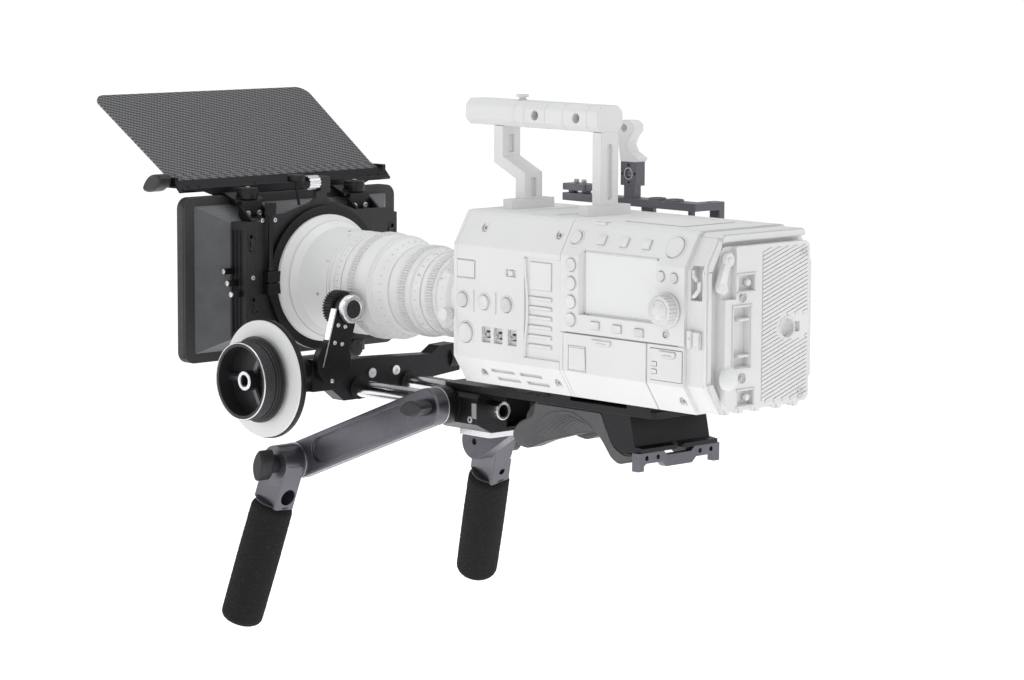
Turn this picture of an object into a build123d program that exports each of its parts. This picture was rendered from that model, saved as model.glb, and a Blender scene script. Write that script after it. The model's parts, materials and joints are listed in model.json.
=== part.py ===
from build123d import *
import math
import os

# Shoulder-mounted cinema camera rig: camera, lens, matte box, follow focus, shoulder base and hand grips.
# All lengths are in millimetres. The parts are laid out from the lens: X = 0 and Z = 0 on the optical axis,
# Y = 0 at the rear face of the lens's front clamp. The front of the rig faces -Y and +X is camera-left.
# Before export everything is moved so that the origin is the tripod thread on the underside.

# ---- driving dimensions ----
TRIPOD = (0.0, 227.0, -114.5)        # tripod thread, where the row's origin goes
RUN = 0.05                           # radial clearance of a running fit
GAP = 0.3                            # clearance between separate bodies

HALF_WIDTH = 65.3                    # camera body half width
SIDE_TOP, SIDE_BOTTOM = 52.9, -40.9  # upper and lower edges of the vertical side face
CHAMFER_X = 50.4                     # half width where the chamfers end
ROOF, FLOOR = 78.0, -63.8            # upper and lower chamfer ends
TOP = 80.6                           # camera top plate
WALL = 4.0                           # casting wall
HEAD_FRONT, HEAD_REAR = 239.9, 366.2
REC_FRONT, REC_REAR = 366.6, 505.0
FLANGE_REAR = 523.0                  # rear of the battery flange
PLATE_REAR = 533.0                   # rear face of the battery plate

MOUNT_FACE = 228.0                   # lens mount flange plane
MOUNT_BORE_R = 27.0                  # lens mount bore
MOUNT_BOSS_R = 34.0

MODULE = 0.8                         # lens gear module
FOCUS_TEETH, ZOOM_TEETH, IRIS_TEETH, PINION_TEETH = 116, 98, 92, 36
FOCUS_GEAR_Y, ZOOM_GEAR_Y, IRIS_GEAR_Y = (81.2, 89.4), (139.6, 147.8), (172.6, 180.8)
MESH_SLACK = 0.1                     # extra centre distance between pinion and lens gear
PINION_ANGLE = math.radians(-14.2)   # direction of the pinion seen from the lens axis
PINION_DISTANCE = MODULE * (FOCUS_TEETH + PINION_TEETH) / 2 + MESH_SLACK
PINION_X = PINION_DISTANCE * math.cos(PINION_ANGLE)
PINION_Z = PINION_DISTANCE * math.sin(PINION_ANGLE)

WHEEL_Y, WHEEL_Z = 75.0, -71.5       # follow focus handwheel axis
OUTPUT_X = 78.0                      # output shaft axis, at the handwheel's height
CONE_GAP = 0.2                       # radius taken off each bevel's pitch cone
PULLEY_R, BELT_T = 5.5, 1.0
ARM_FRONT, ARM_REAR = 91.6, 98.4     # follow focus arm, along Y

ROD_R, ROD_BORE_R = 7.5, 5.5
ROD_X, ROD_Z = 30.0, -89.0           # 15 mm rods at 60 mm centres
ROD_FRONT, ROD_REAR = 52.0, 263.0

HUB_FACE = 60.0                      # outer face of the base's rosette hubs
HUB_Y, HUB_Z = 213.0, -87.4
ROSETTE_R = 16.0
ARM_T = 12.7                         # extension arm thickness
STEM_R = 3.0                         # clamp screw stems
LEFT_GRIP_Y, LEFT_GRIP_Z = 42.0, -153.6
RIGHT_GRIP_Y, RIGHT_GRIP_Z = 131.0, -140.0
BLOCK_T = 22.7                       # grip block width along X
GRIP_START, GRIP_END = 39.0, 157.0   # foam ends, measured from the knuckle
FOAM_R, CORE_R = 19.0, 9.5

PLATE_TOP, PLATE_BOTTOM = -68.5, -74.0   # shoulder top plate
BASE_HALF = 45.0

FRAME_HALF, FRAME_TOP, FRAME_BOTTOM = 123.4, 74.9, -72.6
FRAME_FRONT, FRAME_REAR = -58.5, -47.5
STAGE_HALF, STAGE_TOP, STAGE_BOTTOM = 89.0, 54.0, -51.0
STAGE_FRONT, STAGE_REAR = -25.0, -5.0
TRAY_T = 3.6
TRAY_Y = (-22.0, -16.8, -11.6)        # tray centre planes
TRAY_TAB_Z = (10.6, 0.6, -8.9)
LENS_FRONT_R = 57.0
FLAG_HINGE_Y, FLAG_HINGE_Z = -69.4, 88.0
FLAG_TILT = 32.9                     # degrees above horizontal
FLAG_LENGTH = 131.0
FLAG_NEAR_HALF, FLAG_FAR_HALF = 119.6, 125.2
BRACKET_HALF = 123.8                 # flag bracket, between its end lugs

THREAD_3_8_R = 3.97                  # minor radius of a 3/8"-16 thread
THREAD_1_4_R = 2.55                  # minor radius of a 1/4"-20 thread


# ---- shape helpers ----
def box(x0, x1, y0, y1, z0, z1):
    return Pos((x0 + x1) / 2, (y0 + y1) / 2, (z0 + z1) / 2) * Box(x1 - x0, y1 - y0, z1 - z0)


def cyl_x(r, x0, x1, y, z):
    return Pos((x0 + x1) / 2, y, z) * Rot(0, 90, 0) * Cylinder(r, x1 - x0)


def cyl_y(r, y0, y1, x=0.0, z=0.0):
    return Pos(x, (y0 + y1) / 2, z) * Rot(90, 0, 0) * Cylinder(r, y1 - y0)


def cyl_z(r, z0, z1, x, y):
    return Pos(x, y, (z0 + z1) / 2) * Cylinder(r, z1 - z0)


def prism_x(points, x0, x1):
    """Extrudes a (y, z) outline from x0 to x1."""
    plane = Plane(origin=(x0, 0, 0), x_dir=(0, 1, 0), z_dir=(1, 0, 0))
    return extrude(plane * Polygon(*points, align=None), amount=x1 - x0, dir=(1, 0, 0))


def prism_y(points, y0, y1):
    """Extrudes an (x, z) outline from y0 to y1."""
    plane = Plane(origin=(0, y1, 0), x_dir=(1, 0, 0), z_dir=(0, -1, 0))
    return extrude(plane * Polygon(*points, align=None), amount=y1 - y0, dir=(0, -1, 0))


def prism_z(points, z0, z1):
    """Extrudes an (x, y) outline from z0 to z1."""
    return extrude(Plane.XY.offset(z0) * Polygon(*points, align=None), amount=z1 - z0, dir=(0, 0, 1))


def turned_y(points):
    """Revolves an (r, y) outline about the optical axis."""
    return revolve(Plane.XY * Polygon(*points, align=None), Axis.Y)


def rounded(part, axis, radius):
    """Fillets every edge parallel to one axis."""
    return fillet(part.edges().filter_by(axis), radius)


def mirrored(part):
    return mirror(part, about=Plane.YZ)


def capsule_x(y0, z0, y1, z1, r, x0, x1):
    """A bar with round ends between two points of the YZ plane."""
    angle = math.atan2(z1 - z0, y1 - y0)
    side_y, side_z = -math.sin(angle) * r, math.cos(angle) * r
    corners = [(y0 + side_y, z0 + side_z), (y0 - side_y, z0 - side_z),
               (y1 - side_y, z1 - side_z), (y1 + side_y, z1 + side_z)]
    return prism_x(corners, x0, x1) + cyl_x(r, x0, x1, y0, z0) + cyl_x(r, x0, x1, y1, z1)


def tapered_bar_y(a, b, ra, rb, y0, y1):
    """A bar with round ends of two radii between two (x, z) points, extruded along Y."""
    length = math.dist(a, b)
    along = math.atan2(b[1] - a[1], b[0] - a[0])
    open_angle = math.acos((ra - rb) / length)
    corners = []
    for (x, z), r, side in ((a, ra, 1), (b, rb, 1), (b, rb, -1), (a, ra, -1)):
        direction = along + side * open_angle
        corners.append((x + r * math.cos(direction), z + r * math.sin(direction)))
    return prism_y(corners, y0, y1) + cyl_y(ra, y0, y1, *a) + cyl_y(rb, y0, y1, *b)


def octagon(inset=0.0):
    """Camera body outline in (x, z), moved inwards by inset."""
    lean = math.tan(math.radians(15.2)) * inset
    side = HALF_WIDTH - inset
    edge = CHAMFER_X - 2 * lean
    right = [(edge, FLOOR + inset), (side, SIDE_BOTTOM + lean), (side, SIDE_TOP - lean),
             (edge, ROOF - inset), (edge - 2.4, TOP - inset)]
    return right + [(-x, z) for x, z in reversed(right)]


def chamfer_plane(y, z):
    """Plane on the upper left chamfer, with its Z axis along the outward normal."""
    slope = (HALF_WIDTH - CHAMFER_X) / (ROOF - SIDE_TOP)
    x = HALF_WIDTH - (z - SIDE_TOP) * slope
    return Plane(origin=(x, y, z), x_dir=(0, 1, 0), z_dir=(1, 0, slope))


def gear_outline(teeth, phase, thin=0.04):
    """Involute gear outline for the lens module: a tooth is centred at the phase angle."""
    pitch_r = MODULE * teeth / 2
    base_r = pitch_r * math.cos(math.radians(20))
    root_r, tip_r = pitch_r - 1.25 * MODULE, pitch_r + MODULE
    start_r = max(base_r, root_r)

    def involute(r):
        roll = math.sqrt(max((r / base_r) ** 2 - 1, 0))
        return roll - math.atan(roll)

    half = math.pi / (2 * teeth) - thin / pitch_r
    steps = [start_r + (tip_r - start_r) * i / 3 for i in range(4)]
    flank = [(r, half + involute(pitch_r) - involute(r)) for r in steps]
    points = []
    for tooth in range(teeth):
        centre = phase + 2 * math.pi * tooth / teeth
        polar = [(root_r, centre - flank[0][1])] + [(r, centre - a) for r, a in flank]
        polar += [(r, centre + a) for r, a in reversed(flank)] + [(root_r, centre + flank[0][1])]
        if root_r >= base_r:
            polar = polar[1:-1]
        points += [(r * math.cos(a), r * math.sin(a)) for r, a in polar]
    return points


def ribbed_outline(r, depth, ribs):
    """Knob outline with plain grips round its rim."""
    points = []
    for rib in range(ribs):
        for share, radius in ((0.0, r - depth), (0.2, r), (0.6, r), (0.8, r - depth)):
            angle = 2 * math.pi * (rib + share) / ribs
            points.append((radius * math.cos(angle), radius * math.sin(angle)))
    return points


# ---- camera ----
SCREW_SPOTS = ((269.0, 68.0), (357.0, 68.0), (269.3, -53.8), (357.0, -53.8), (497.0, -53.8))
KEY_TRAVEL = 0.8
HEAD_KEYS = ((251.0, 6.9, 6.0), (277.0, 6.6, 6.0), (304.0, 6.6, 6.0), (255.0, -20.4, 8.2))
TOGGLE_Y, TOGGLE_Z = (279.4, 293.8, 310.6), -20.0
TOGGLE_AXIS_X = 59.0
SCREEN_KEYS = ((379.0, 45.8, 5.2), (379.0, 30.9, 5.2), (379.0, 15.9, 5.2), (379.0, 1.4, 5.2),
               (479.4, 44.7, 3.8), (493.5, 44.3, 3.8))
SQUARE_KEYS = ((406.7, -1.0), (431.5, -1.5), (455.9, -2.1))
SCREEN = (390.5, 474.5, 6.5, 60.0)     # display: front, rear, lower and upper edges
SCREEN_DEPTH = 4.2
TOP_KEY_Z = 67.0
TOP_KEYS_Y = (406.0, 431.0, 456.0)
ROUND_TOP_KEY_Y, RECORD_KEY_Y = 377.0, 487.0
JOG_Y, JOG_Z, JOG_R = 487.3, 18.6, 12.2
ND_Y, ND_Z = 233.6, -6.9
DOOR = (370.0, 464.0, -9.4)          # card door: front, rear and top edges
DOOR_T, DOOR_RECESS = 2.6, 3.0
DOOR_AXIS_X, DOOR_AXIS_Z = 49.8, -61.9
PIN_R = 1.0                          # card door hinge pins


def side_x(z):
    """Half width of the camera body at height z below the lower edge of the side."""
    return HALF_WIDTH - (SIDE_BOTTOM - z) * (HALF_WIDTH - CHAMFER_X) / (SIDE_BOTTOM - FLOOR)


def screw_recesses(y0, y1):
    """Countersinks for the casing screws between two stations, on both flanks."""
    cuts = []
    for y, z in SCREW_SPOTS:
        if y0 < y < y1:
            face = side_x(z) if z < 0 else chamfer_plane(y, z).origin.X
            cut = cyl_x(4.0, face - 2.0, face + 4.0, y, z)
            cuts += [cut, mirrored(cut)]
    return cuts


def head_shell():
    front = HEAD_FRONT + 4.0
    shell = prism_y(octagon(), front, HEAD_REAR) - prism_y(octagon(WALL), front - 1, HEAD_REAR - WALL)
    panel = box(HALF_WIDTH - 1.6, HALF_WIDTH + 1, 324.5, HEAD_REAR + 1, -34.6, 48.1)
    cuts = [panel, box(HALF_WIDTH - 0.6, HALF_WIDTH + 1, 244.0, 266.0, 25.0, 26.0)]
    cuts += [box(HALF_WIDTH - 0.6, HALF_WIDTH + 1, 265.4, 266.2, 25.0, 41.0)]
    cuts += [box(HALF_WIDTH - 0.6, HALF_WIDTH + 1, 244.0, 266.0, 40.2, 41.0)]
    cuts += [box(HALF_WIDTH - 3.0, HALF_WIDTH, 328.0, 354.0, z - 0.7, z + 0.7)
             for z in (16.0 - 7.8 * row for row in range(6))]
    cuts += [cyl_x(r + GAP, 55, 70, y, z) for y, z, r in HEAD_KEYS]
    cuts += [box(55, 70, y - 5.2, y + 5.2, TOGGLE_Z - 6.5, TOGGLE_Z + 6.5) for y in TOGGLE_Y]
    for y0, y1, z in ((279.5, 307.0, -50.0), (314.0, 340.0, -50.0), (283.0, 310.0, -57.0), (318.0, 344.0, -57.0)):
        slot = box(side_x(z) - 2.4, side_x(z) + 4, y0, y1, z - 1.3, z + 1.3)
        cuts += [slot, mirrored(slot)]
    grille = [box(-HALF_WIDTH - 1, -HALF_WIDTH + 2.4, 262.0, 318.0, z - 1.4, z + 1.4)
              for z in (-22.0 + 7.0 * row for row in range(9))]
    slider_slot = box(HALF_WIDTH - 1.5, HALF_WIDTH + 1, 303.0, 315.0, 30.3, 36.3)
    for cut in cuts + grille + [slider_slot] + screw_recesses(HEAD_FRONT, HEAD_REAR):
        shell -= cut
    separators = [box(HALF_WIDTH - 0.5, HALF_WIDTH + 0.8, y - 0.8, y + 0.8, -2.0, 15.5) for y in (264.0, 290.5)]
    slider = box(HALF_WIDTH - 2.5, HALF_WIDTH + 0.3, 306.0, 311.0, 31.2, 35.4)
    bearings = [box(56.0, HALF_WIDTH - WALL + 1, y - 1.8, y + 1.8, TOGGLE_Z - 3.5, TOGGLE_Z + 3.5)
                for y in (TOGGLE_Y[0] - 7.6, TOGGLE_Y[2] + 7.6)]
    for rib in separators + bearings + [slider]:
        shell += rib
    return shell - cyl_y(1.5 + RUN, TOGGLE_Y[0] - 8.5, TOGGLE_Y[2] + 8.5, TOGGLE_AXIS_X, TOGGLE_Z)


def head_front_plate():
    plate = prism_y(octagon(), HEAD_FRONT, HEAD_FRONT + 3.9)
    plate += cyl_y(MOUNT_BOSS_R, MOUNT_FACE, HEAD_FRONT + 1)
    plate += cyl_y(MOUNT_BOSS_R + 9.0, HEAD_FRONT - 3.0, HEAD_FRONT + 1)
    plate += box(50.5, HALF_WIDTH - 0.9, ND_Y - 5.5, HEAD_FRONT + 1, ND_Z - 5.5, ND_Z + 5.5)
    plate -= cyl_x(2.0 + RUN, 54.0, HALF_WIDTH, ND_Y, ND_Z)
    return plate - cyl_y(MOUNT_BORE_R + RUN, MOUNT_FACE - 1, HEAD_FRONT + 10)


def mount_lock_ring():
    ring = cyl_y(41.0, MOUNT_FACE + 0.6, HEAD_FRONT - 3.5)
    for angle in (45, 135, 225, 315):
        ear = Rot(0, angle, 0) * box(38.0, 48.5, MOUNT_FACE + 0.6, HEAD_FRONT - 3.5, -5.5, 5.5)
        ring += ear
    return ring - cyl_y(MOUNT_BOSS_R + RUN, MOUNT_FACE - 5, HEAD_FRONT + 5)


def sensor_block():
    board = box(-30, 30, 292.0, 296.0, -26, 26)
    carrier = box(-20, 20, 282.0, 292.0, -16, 16)
    chip = box(-13.2, 13.2, 280.5, 282.0, -7.0, 7.0)
    posts = [cyl_y(2.5, 296.0, HEAD_REAR - WALL, x, z) for x in (-26, 26) for z in (-22, 22)]
    block = board + carrier + chip
    for post in posts:
        block += post
    return block


def nd_knob():
    outline = [(ND_Y + y, ND_Z + z) for y, z in ribbed_outline(6.0, 0.6, 18)]
    return prism_x(outline, HALF_WIDTH - 0.5, 72.5) + cyl_x(2.0, 55.0, HALF_WIDTH, ND_Y, ND_Z)


def recorder_shell():
    shell = prism_y(octagon(), REC_FRONT, REC_REAR)
    flange = [(x * 0.955, z * 0.965) for x, z in octagon()]
    shell += prism_y(flange, REC_REAR - 1, FLANGE_REAR)
    shell -= prism_y(octagon(WALL), REC_FRONT + WALL, REC_REAR - WALL)
    y0, y1, top = DOOR
    region = box(47.4, 80, y0, y1, -80, top)
    shell -= region & (prism_y(octagon(-2), y0, y1) - prism_y(octagon(DOOR_RECESS), y0 - 1, y1 + 1))
    cuts = [cyl_x(r + GAP, 55, 70, y, z) for y, z, r in SCREEN_KEYS]
    cuts += [box(55, 70, y - 5.0, y + 5.0, z - 3.3, z + 3.3) for y, z in SQUARE_KEYS]
    cuts += [chamfer_plane(y, TOP_KEY_Z) * Box(8.6, 8.6, 16) for y in TOP_KEYS_Y]
    cuts += [chamfer_plane(y, TOP_KEY_Z) * Cylinder(r + GAP, 16)
             for y, r in ((ROUND_TOP_KEY_Y, 5.6), (RECORD_KEY_Y, 8.8))]
    sy0, sy1, sz0, sz1 = SCREEN
    shell += box(HALF_WIDTH - 9.5, HALF_WIDTH - SCREEN_DEPTH, sy0 - 2.5, sy1 - 0.2, sz0 - 1.5, sz1 - 2.5)
    deep, mouth_x = HALF_WIDTH - SCREEN_DEPTH, HALF_WIDTH + 1
    mouth = [(deep, sy0), (mouth_x, sy0 - 4.0), (mouth_x, sy1), (deep, sy1)]
    cuts.append(prism_z(mouth, sz0, sz1))
    cuts.append(cyl_y(PIN_R + RUN, y0 - 3.0, y1 + 3.0, DOOR_AXIS_X, DOOR_AXIS_Z))
    cuts.append(cyl_x(3.0 + RUN, 55, 70, JOG_Y, JOG_Z))
    cuts.append(cyl_x(4.0, HALF_WIDTH - 1.0, HALF_WIDTH + 1, 484.9, -1.0))
    seam = box(HALF_WIDTH - 0.8, HALF_WIDTH + 1, REC_FRONT - 1, REC_REAR + 6, -9.6, -8.6)
    split = box(40, HALF_WIDTH + 1, y1 + 0.2, y1 + 1.0, -80, top) - prism_y(octagon(0.8), y1 - 1, y1 + 2)
    pocket = box(HALF_WIDTH - 12, HALF_WIDTH + 1, 509.0, 521.0, 28.0, 55.0)
    cuts += [seam, split, pocket]
    right_vent = [box(-HALF_WIDTH - 1, -HALF_WIDTH + 2.4, y - 1.5, y + 1.5, -20.0, 34.0)
                  for y in (392.0 + 7.5 * slot for slot in range(12))]
    for cut in cuts + right_vent + screw_recesses(REC_FRONT, REC_REAR):
        shell -= cut
    hinge = box(HALF_WIDTH - 4, HALF_WIDTH - 0.5, 508.0, 520.5, -10.0, 4.0)
    return shell + hinge


def card_door():
    y0, y1, top = DOOR
    edge = 0.4
    skin = prism_y(octagon(), y0 + edge, y1 - edge) - prism_y(octagon(DOOR_T), y0, y1)
    door = skin & box(49.0, 80, y0, y1, -80, top - edge)
    door += cyl_y(PIN_R, y0 - 2.5, y1 + 2.5, DOOR_AXIS_X, DOOR_AXIS_Z)
    inner = box(HALF_WIDTH - 0.7, HALF_WIDTH + 1, 376.0, 396.7, -40.0, -18.9)
    inner -= box(HALF_WIDTH - 2, HALF_WIDTH + 2, 376.8, 395.9, -41.0, -19.7)
    latch = box(HALF_WIDTH - 0.5, HALF_WIDTH + 1.2, 403.0, 417.0, -16.5, -12.6)
    return door - inner + latch


def screen_panel():
    y0, y1, z0, z1 = SCREEN
    face = HALF_WIDTH - SCREEN_DEPTH
    return box(face, face + 0.9, y0 + 0.4, y1 - 0.4, z0 + 0.4, z1 - 2.0)


def screen_keypad():
    mat_x = HALF_WIDTH - WALL - 1.2
    mat = box(mat_x - 2, mat_x, 372.5, 385.5, -7.0, 52.0)
    mat += box(mat_x - 2, mat_x, 380.0, 499.0, -7.0, 4.0)
    mat += box(mat_x - 2, mat_x, 474.5, 481.0, -7.0, 50.0)
    mat += box(mat_x - 2, mat_x, 474.5, 499.0, 39.0, 50.0)
    for y, z, r in SCREEN_KEYS:
        mat += cyl_x(r, mat_x - 1, HALF_WIDTH + 1.3, y, z)
    for y, z in SQUARE_KEYS:
        mat += box(mat_x - 1, HALF_WIDTH + 1.3, y - 4.7, y + 4.7, z - 3.0, z + 3.0)
    return mat


def top_keypad():
    depth = WALL + 1.2
    strip = chamfer_plane(432.0, TOP_KEY_Z) * Pos(0, 0, -depth - 1) * Box(121, 14, 2)
    for y in TOP_KEYS_Y:
        strip += chamfer_plane(y, TOP_KEY_Z) * Pos(0, 0, (1.3 - depth) / 2) * Box(8.0, 8.0, 1.3 + depth)
    for y, r in ((ROUND_TOP_KEY_Y, 5.6), (RECORD_KEY_Y, 8.8)):
        strip += chamfer_plane(y, TOP_KEY_Z) * Pos(0, 0, (1.5 - depth) / 2) * Cylinder(r, 1.5 + depth)
    return strip


def head_keypad():
    mat_x = HALF_WIDTH - WALL - 1.2
    mat = box(mat_x - 2, mat_x, 246.0, 311.0, 0.0, 13.5)
    mat += box(mat_x - 2, mat_x, 246.0, 264.0, -29.0, 1.0)
    for y, z, r in HEAD_KEYS:
        mat += cyl_x(r, mat_x - 1, HALF_WIDTH + 1.6, y, z)
    return mat


def head_toggles():
    bar = cyl_y(1.5, TOGGLE_Y[0] - 3.5, TOGGLE_Y[2] + 3.5, TOGGLE_AXIS_X, TOGGLE_Z)
    for y in TOGGLE_Y:
        bar += box(TOGGLE_AXIS_X, HALF_WIDTH + 1.0, y - 2.0, y + 2.0, TOGGLE_Z - 1.6, TOGGLE_Z + 1.6)
    return bar


def jog_dial():
    outline = [(JOG_Y + y, JOG_Z + z) for y, z in ribbed_outline(JOG_R, 0.8, 24)]
    dial = prism_x(outline, HALF_WIDTH + 0.5, HALF_WIDTH + 10.5)
    dial -= cyl_x(8.0, HALF_WIDTH + 9.0, HALF_WIDTH + 12, JOG_Y, JOG_Z)
    return dial + cyl_x(3.0, HALF_WIDTH - WALL - 1, HALF_WIDTH + 2, JOG_Y, JOG_Z)


LEVER_FLOOR = PLATE_REAR - 5.2          # bottom of the release lever's recess


def battery_plate():
    plate = rounded(box(-49, 49, FLANGE_REAR, PLATE_REAR, -58.0, 70.0), Axis.Y, 6)
    channel = box(21, 39, PLATE_REAR - 6, PLATE_REAR + 1, -25, 22)
    pockets = [box(16, 34, PLATE_REAR - 5, PLATE_REAR + 1, low, high) for low, high in ((35, 47), (-55, -44))]
    keyhole = cyl_y(8.0, PLATE_REAR - 5, PLATE_REAR + 1, -23.0, 2.0)
    keyslot = box(-38, -23, PLATE_REAR - 5, PLATE_REAR + 1, -2.0, 6.0)
    recess = box(36.5, 60.0, LEVER_FLOOR, PLATE_REAR + 1, 29.0, 71.0)
    pivot = cyl_y(2.0 + RUN, LEVER_FLOOR - 3.5, PLATE_REAR + 1, 44.0, 60.0)
    for cut in [channel, keyhole, keyslot, recess, pivot] + pockets:
        plate -= cut
    for z in (12.3, -16.5):
        plate += box(22, 34, PLATE_REAR - 6.5, PLATE_REAR - 2, z - 1.2, z + 1.2)
    return plate


def battery_release_lever():
    lever = prism_y([(40.5, 66.0), (46.0, 64.0), (56.0, 40.0), (50.0, 33.0), (44.5, 36.0), (47.0, 42.0)],
                    LEVER_FLOOR + GAP, PLATE_REAR - GAP)
    return lever + cyl_y(2.0, LEVER_FLOOR - 3.0, LEVER_FLOOR + 1, 44.0, 60.0)


# ---- handle ----
HANDLE_BAR = (199.0, 357.0, 148.3, 170.3)
POST_HALF = 10.0
FOOT_TOP = 88.6


def handle_bar():
    y0, y1, z0, z1 = HANDLE_BAR
    outline = [(9, z0), (14.5, z0 + 5.5), (14.5, z1 - 5.5), (9, z1)]
    outline += [(-x, z) for x, z in reversed(outline)]
    bar = rounded(prism_y(outline, y0, y1), Axis.Y, 3)
    for y in (283.0, 331.7):
        bar -= cyl_x(THREAD_3_8_R, -20, 20, y, 159.3)
    bar += cyl_z(3.0, z1 - 1, z1 + 3, 0, 253.5) + cyl_z(5.0, z1 + 3, z1 + 5, 0, 253.5)
    return bar


def handle_posts():
    z_top = HANDLE_BAR[2]
    front = prism_x([(229.4, z_top), (240.4, z_top), (240.4, 123.0), (267.4, 110.5), (267.4, FOOT_TOP),
                     (256.0, FOOT_TOP), (256.0, 105.0), (229.4, 117.5)], -POST_HALF, POST_HALF)
    front -= box(-3.2, 3.2, 238.0, 242.0, 126.0, 141.0)
    front -= box(-3.2, 3.2, 265.0, 269.0, 90.5, 106.0)
    rear = box(-POST_HALF, POST_HALF, 347.0, 357.0, FOOT_TOP - 1, z_top)
    rear -= rounded(box(-3.0, 3.0, 354.6, 358.0, 93.0, 139.0), Axis.Y, 2.9)
    front_foot = rounded(box(-24.5, 24.5, 255.0, 268.5, TOP, FOOT_TOP), Axis.Z, 2)
    rear_foot = rounded(box(-24.5, 24.5, 345.5, 358.5, TOP, FOOT_TOP), Axis.Z, 2)
    for x in (-18.5, 18.5):
        front_foot -= cyl_z(2.6, FOOT_TOP - 3, FOOT_TOP + 1, x, 261.8)
        rear_foot -= cyl_z(2.6, FOOT_TOP - 3, FOOT_TOP + 1, x, 352.0)
    return (front + front_foot) + (rear + rear_foot)


# ---- right side accessory bracket ----
SIDE_BLOCK = (324.7, 110.0)           # (y, z) of the stud hole
SIDE_STUD_R, SIDE_PITCH_R = 4.2, 7.2


def side_arm():
    low, high = 83.0, 89.5
    arm = box(-70, -54, 246.0, 402.0, low, high)
    arm += box(-91, -54, 390.0, 402.0, low, high)
    arm += box(-91, -84, 390.0, 402.0, 62.0, high)
    arm = rounded(arm, Axis.Z, 1.5)
    for y in (352.0, 372.0):
        arm += cyl_z(7.6, low, high + 1.2, -62, y)
        arm -= cyl_z(4.6, low - 1, high + 3, -62, y)
    arm -= box(-81, -74, 393.5, 398.5, low - 1, high + 1)
    arm += box(-69.0, -HALF_WIDTH, 330.0, 344.0, 20.0, low + 1)
    arm += box(-69.0, -HALF_WIDTH, 384.0, 388.5, 56.0, low + 1)
    arm += rounded(box(-70, -54, 246.0, 274.0, high + 2.4, high + 8.0), Axis.Z, 2)
    arm += cyl_z(4.0, high - 1, high + 3.0, -62, 252.0) + cyl_z(4.0, high - 1, high + 3.0, -62, 268.0)
    arm += cyl_z(1.9, high + 7, high + 11.5, -62, 256.0) + cyl_z(1.9, high + 7, high + 11.5, -62, 265.0)
    arm -= cyl_y(2.6, 240, 280, -62, 86.2)
    block = box(-65, -55, 315.5, 334.0, 100.0, 120.0) - cyl_x(SIDE_STUD_R, -70, -50, *SIDE_BLOCK)
    for dy, dz in ((SIDE_PITCH_R, 0), (-SIDE_PITCH_R, 0), (0, SIDE_PITCH_R), (0, -SIDE_PITCH_R)):
        block -= cyl_x(1.1, -70, -50, SIDE_BLOCK[0] + dy, SIDE_BLOCK[1] + dz)
    neck = box(-63.5, -56.5, 318.0, 331.0, high - 1, 101.0)
    return arm + block + neck


def viewfinder_bracket():
    outline = [(316.0, 120.0), (334.0, 120.0), (336.5, 123.0), (326.0, 128.5), (323.0, 134.5), (326.0, 140.5),
               (331.0, 146.0), (330.5, 151.5), (325.5, 154.5), (314.0, 154.5), (311.0, 150.0), (313.0, 138.0)]
    return rounded(prism_x(outline, -66.0, -54.0), Axis.X, 1.2) - cyl_x(3.3, -70, -50, 320.0, 148.0)


# ---- lens ----
CORE = {"focus": 41.4, "zoom": 34.6, "iris": 32.4}
RING_R = {"focus": 45.4, "zoom": 38.2, "iris": 36.0}
FOCUS_RING = (72.0, 107.5)
ZOOM_RING = (126.0, 155.0)
IRIS_RING = (165.0, 184.0)
GLASS_R = 44.0


def lens_barrel():
    f0, f1 = FOCUS_RING
    z0, z1 = ZOOM_RING
    i0, i1 = IRIS_RING
    side = 0.15
    outer = [(LENS_FRONT_R, -4.95), (LENS_FRONT_R, 2.4), (56.0, 3.6), (52.4, 9.6), (51.4, 9.6), (51.4, 10.8),
             (51.9, 10.8), (47.0, 17.5), (46.2, 30.0), (45.4, 56.0), (44.8, 56.4), (44.8, 57.4), (45.4, 57.8),
             (45.4, f0 - side), (CORE["focus"], f0 - side), (CORE["focus"], f1 + side), (44.6, f1 + side),
             (44.0, 110.0), (43.2, 110.4), (43.2, 111.4), (43.2, 112.2), (40.2, 122.5), (38.4, z0 - side),
             (CORE["zoom"], z0 - side), (CORE["zoom"], z1 + side), (37.4, z1 + side), (36.6, i0 - side),
             (CORE["iris"], i0 - side), (CORE["iris"], i1 + side), (35.6, i1 + side), (35.0, 187.0),
             (34.6, 196.0), (32.2, 199.0), (31.6, 221.0), (33.6, 223.0),
             (33.6, MOUNT_FACE), (MOUNT_BORE_R, MOUNT_FACE), (MOUNT_BORE_R, 238.0), (24.0, 238.0)]
    inner = [(24.0, 190.0), (28.0, 188.0), (28.0, 70.0), (40.5, 25.0), (GLASS_R, 19.0), (GLASS_R, 10.0),
             (54.0, -4.95)]
    return turned_y(outer + inner)


def lens_ring(span, core_r, outer_r, teeth, gear_span, phase=0.0):
    """A lens ring with its gear band, running on the barrel."""
    y0, y1 = span
    ring = turned_y([(core_r + RUN, y0), (outer_r - 0.8, y0), (outer_r, y0 + 0.8), (outer_r, y1 - 0.8),
                     (outer_r - 0.8, y1), (core_r + RUN, y1)])
    g0, g1 = gear_span
    ring -= cyl_y(outer_r + 5, g0, g1) - cyl_y(core_r + 1.5, g0 - 1, g1 + 1)
    gear = prism_y(gear_outline(teeth, phase), g0, g1) - cyl_y(core_r + 1.0, g0 - 1, g1 + 1)
    return ring + gear


def focus_ring():
    return lens_ring(FOCUS_RING, CORE["focus"], RING_R["focus"], FOCUS_TEETH, FOCUS_GEAR_Y, PINION_ANGLE)


def zoom_ring():
    return lens_ring(ZOOM_RING, CORE["zoom"], RING_R["zoom"], ZOOM_TEETH, ZOOM_GEAR_Y)


def iris_ring():
    return lens_ring(IRIS_RING, CORE["iris"], RING_R["iris"], IRIS_TEETH, IRIS_GEAR_Y)


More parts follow.
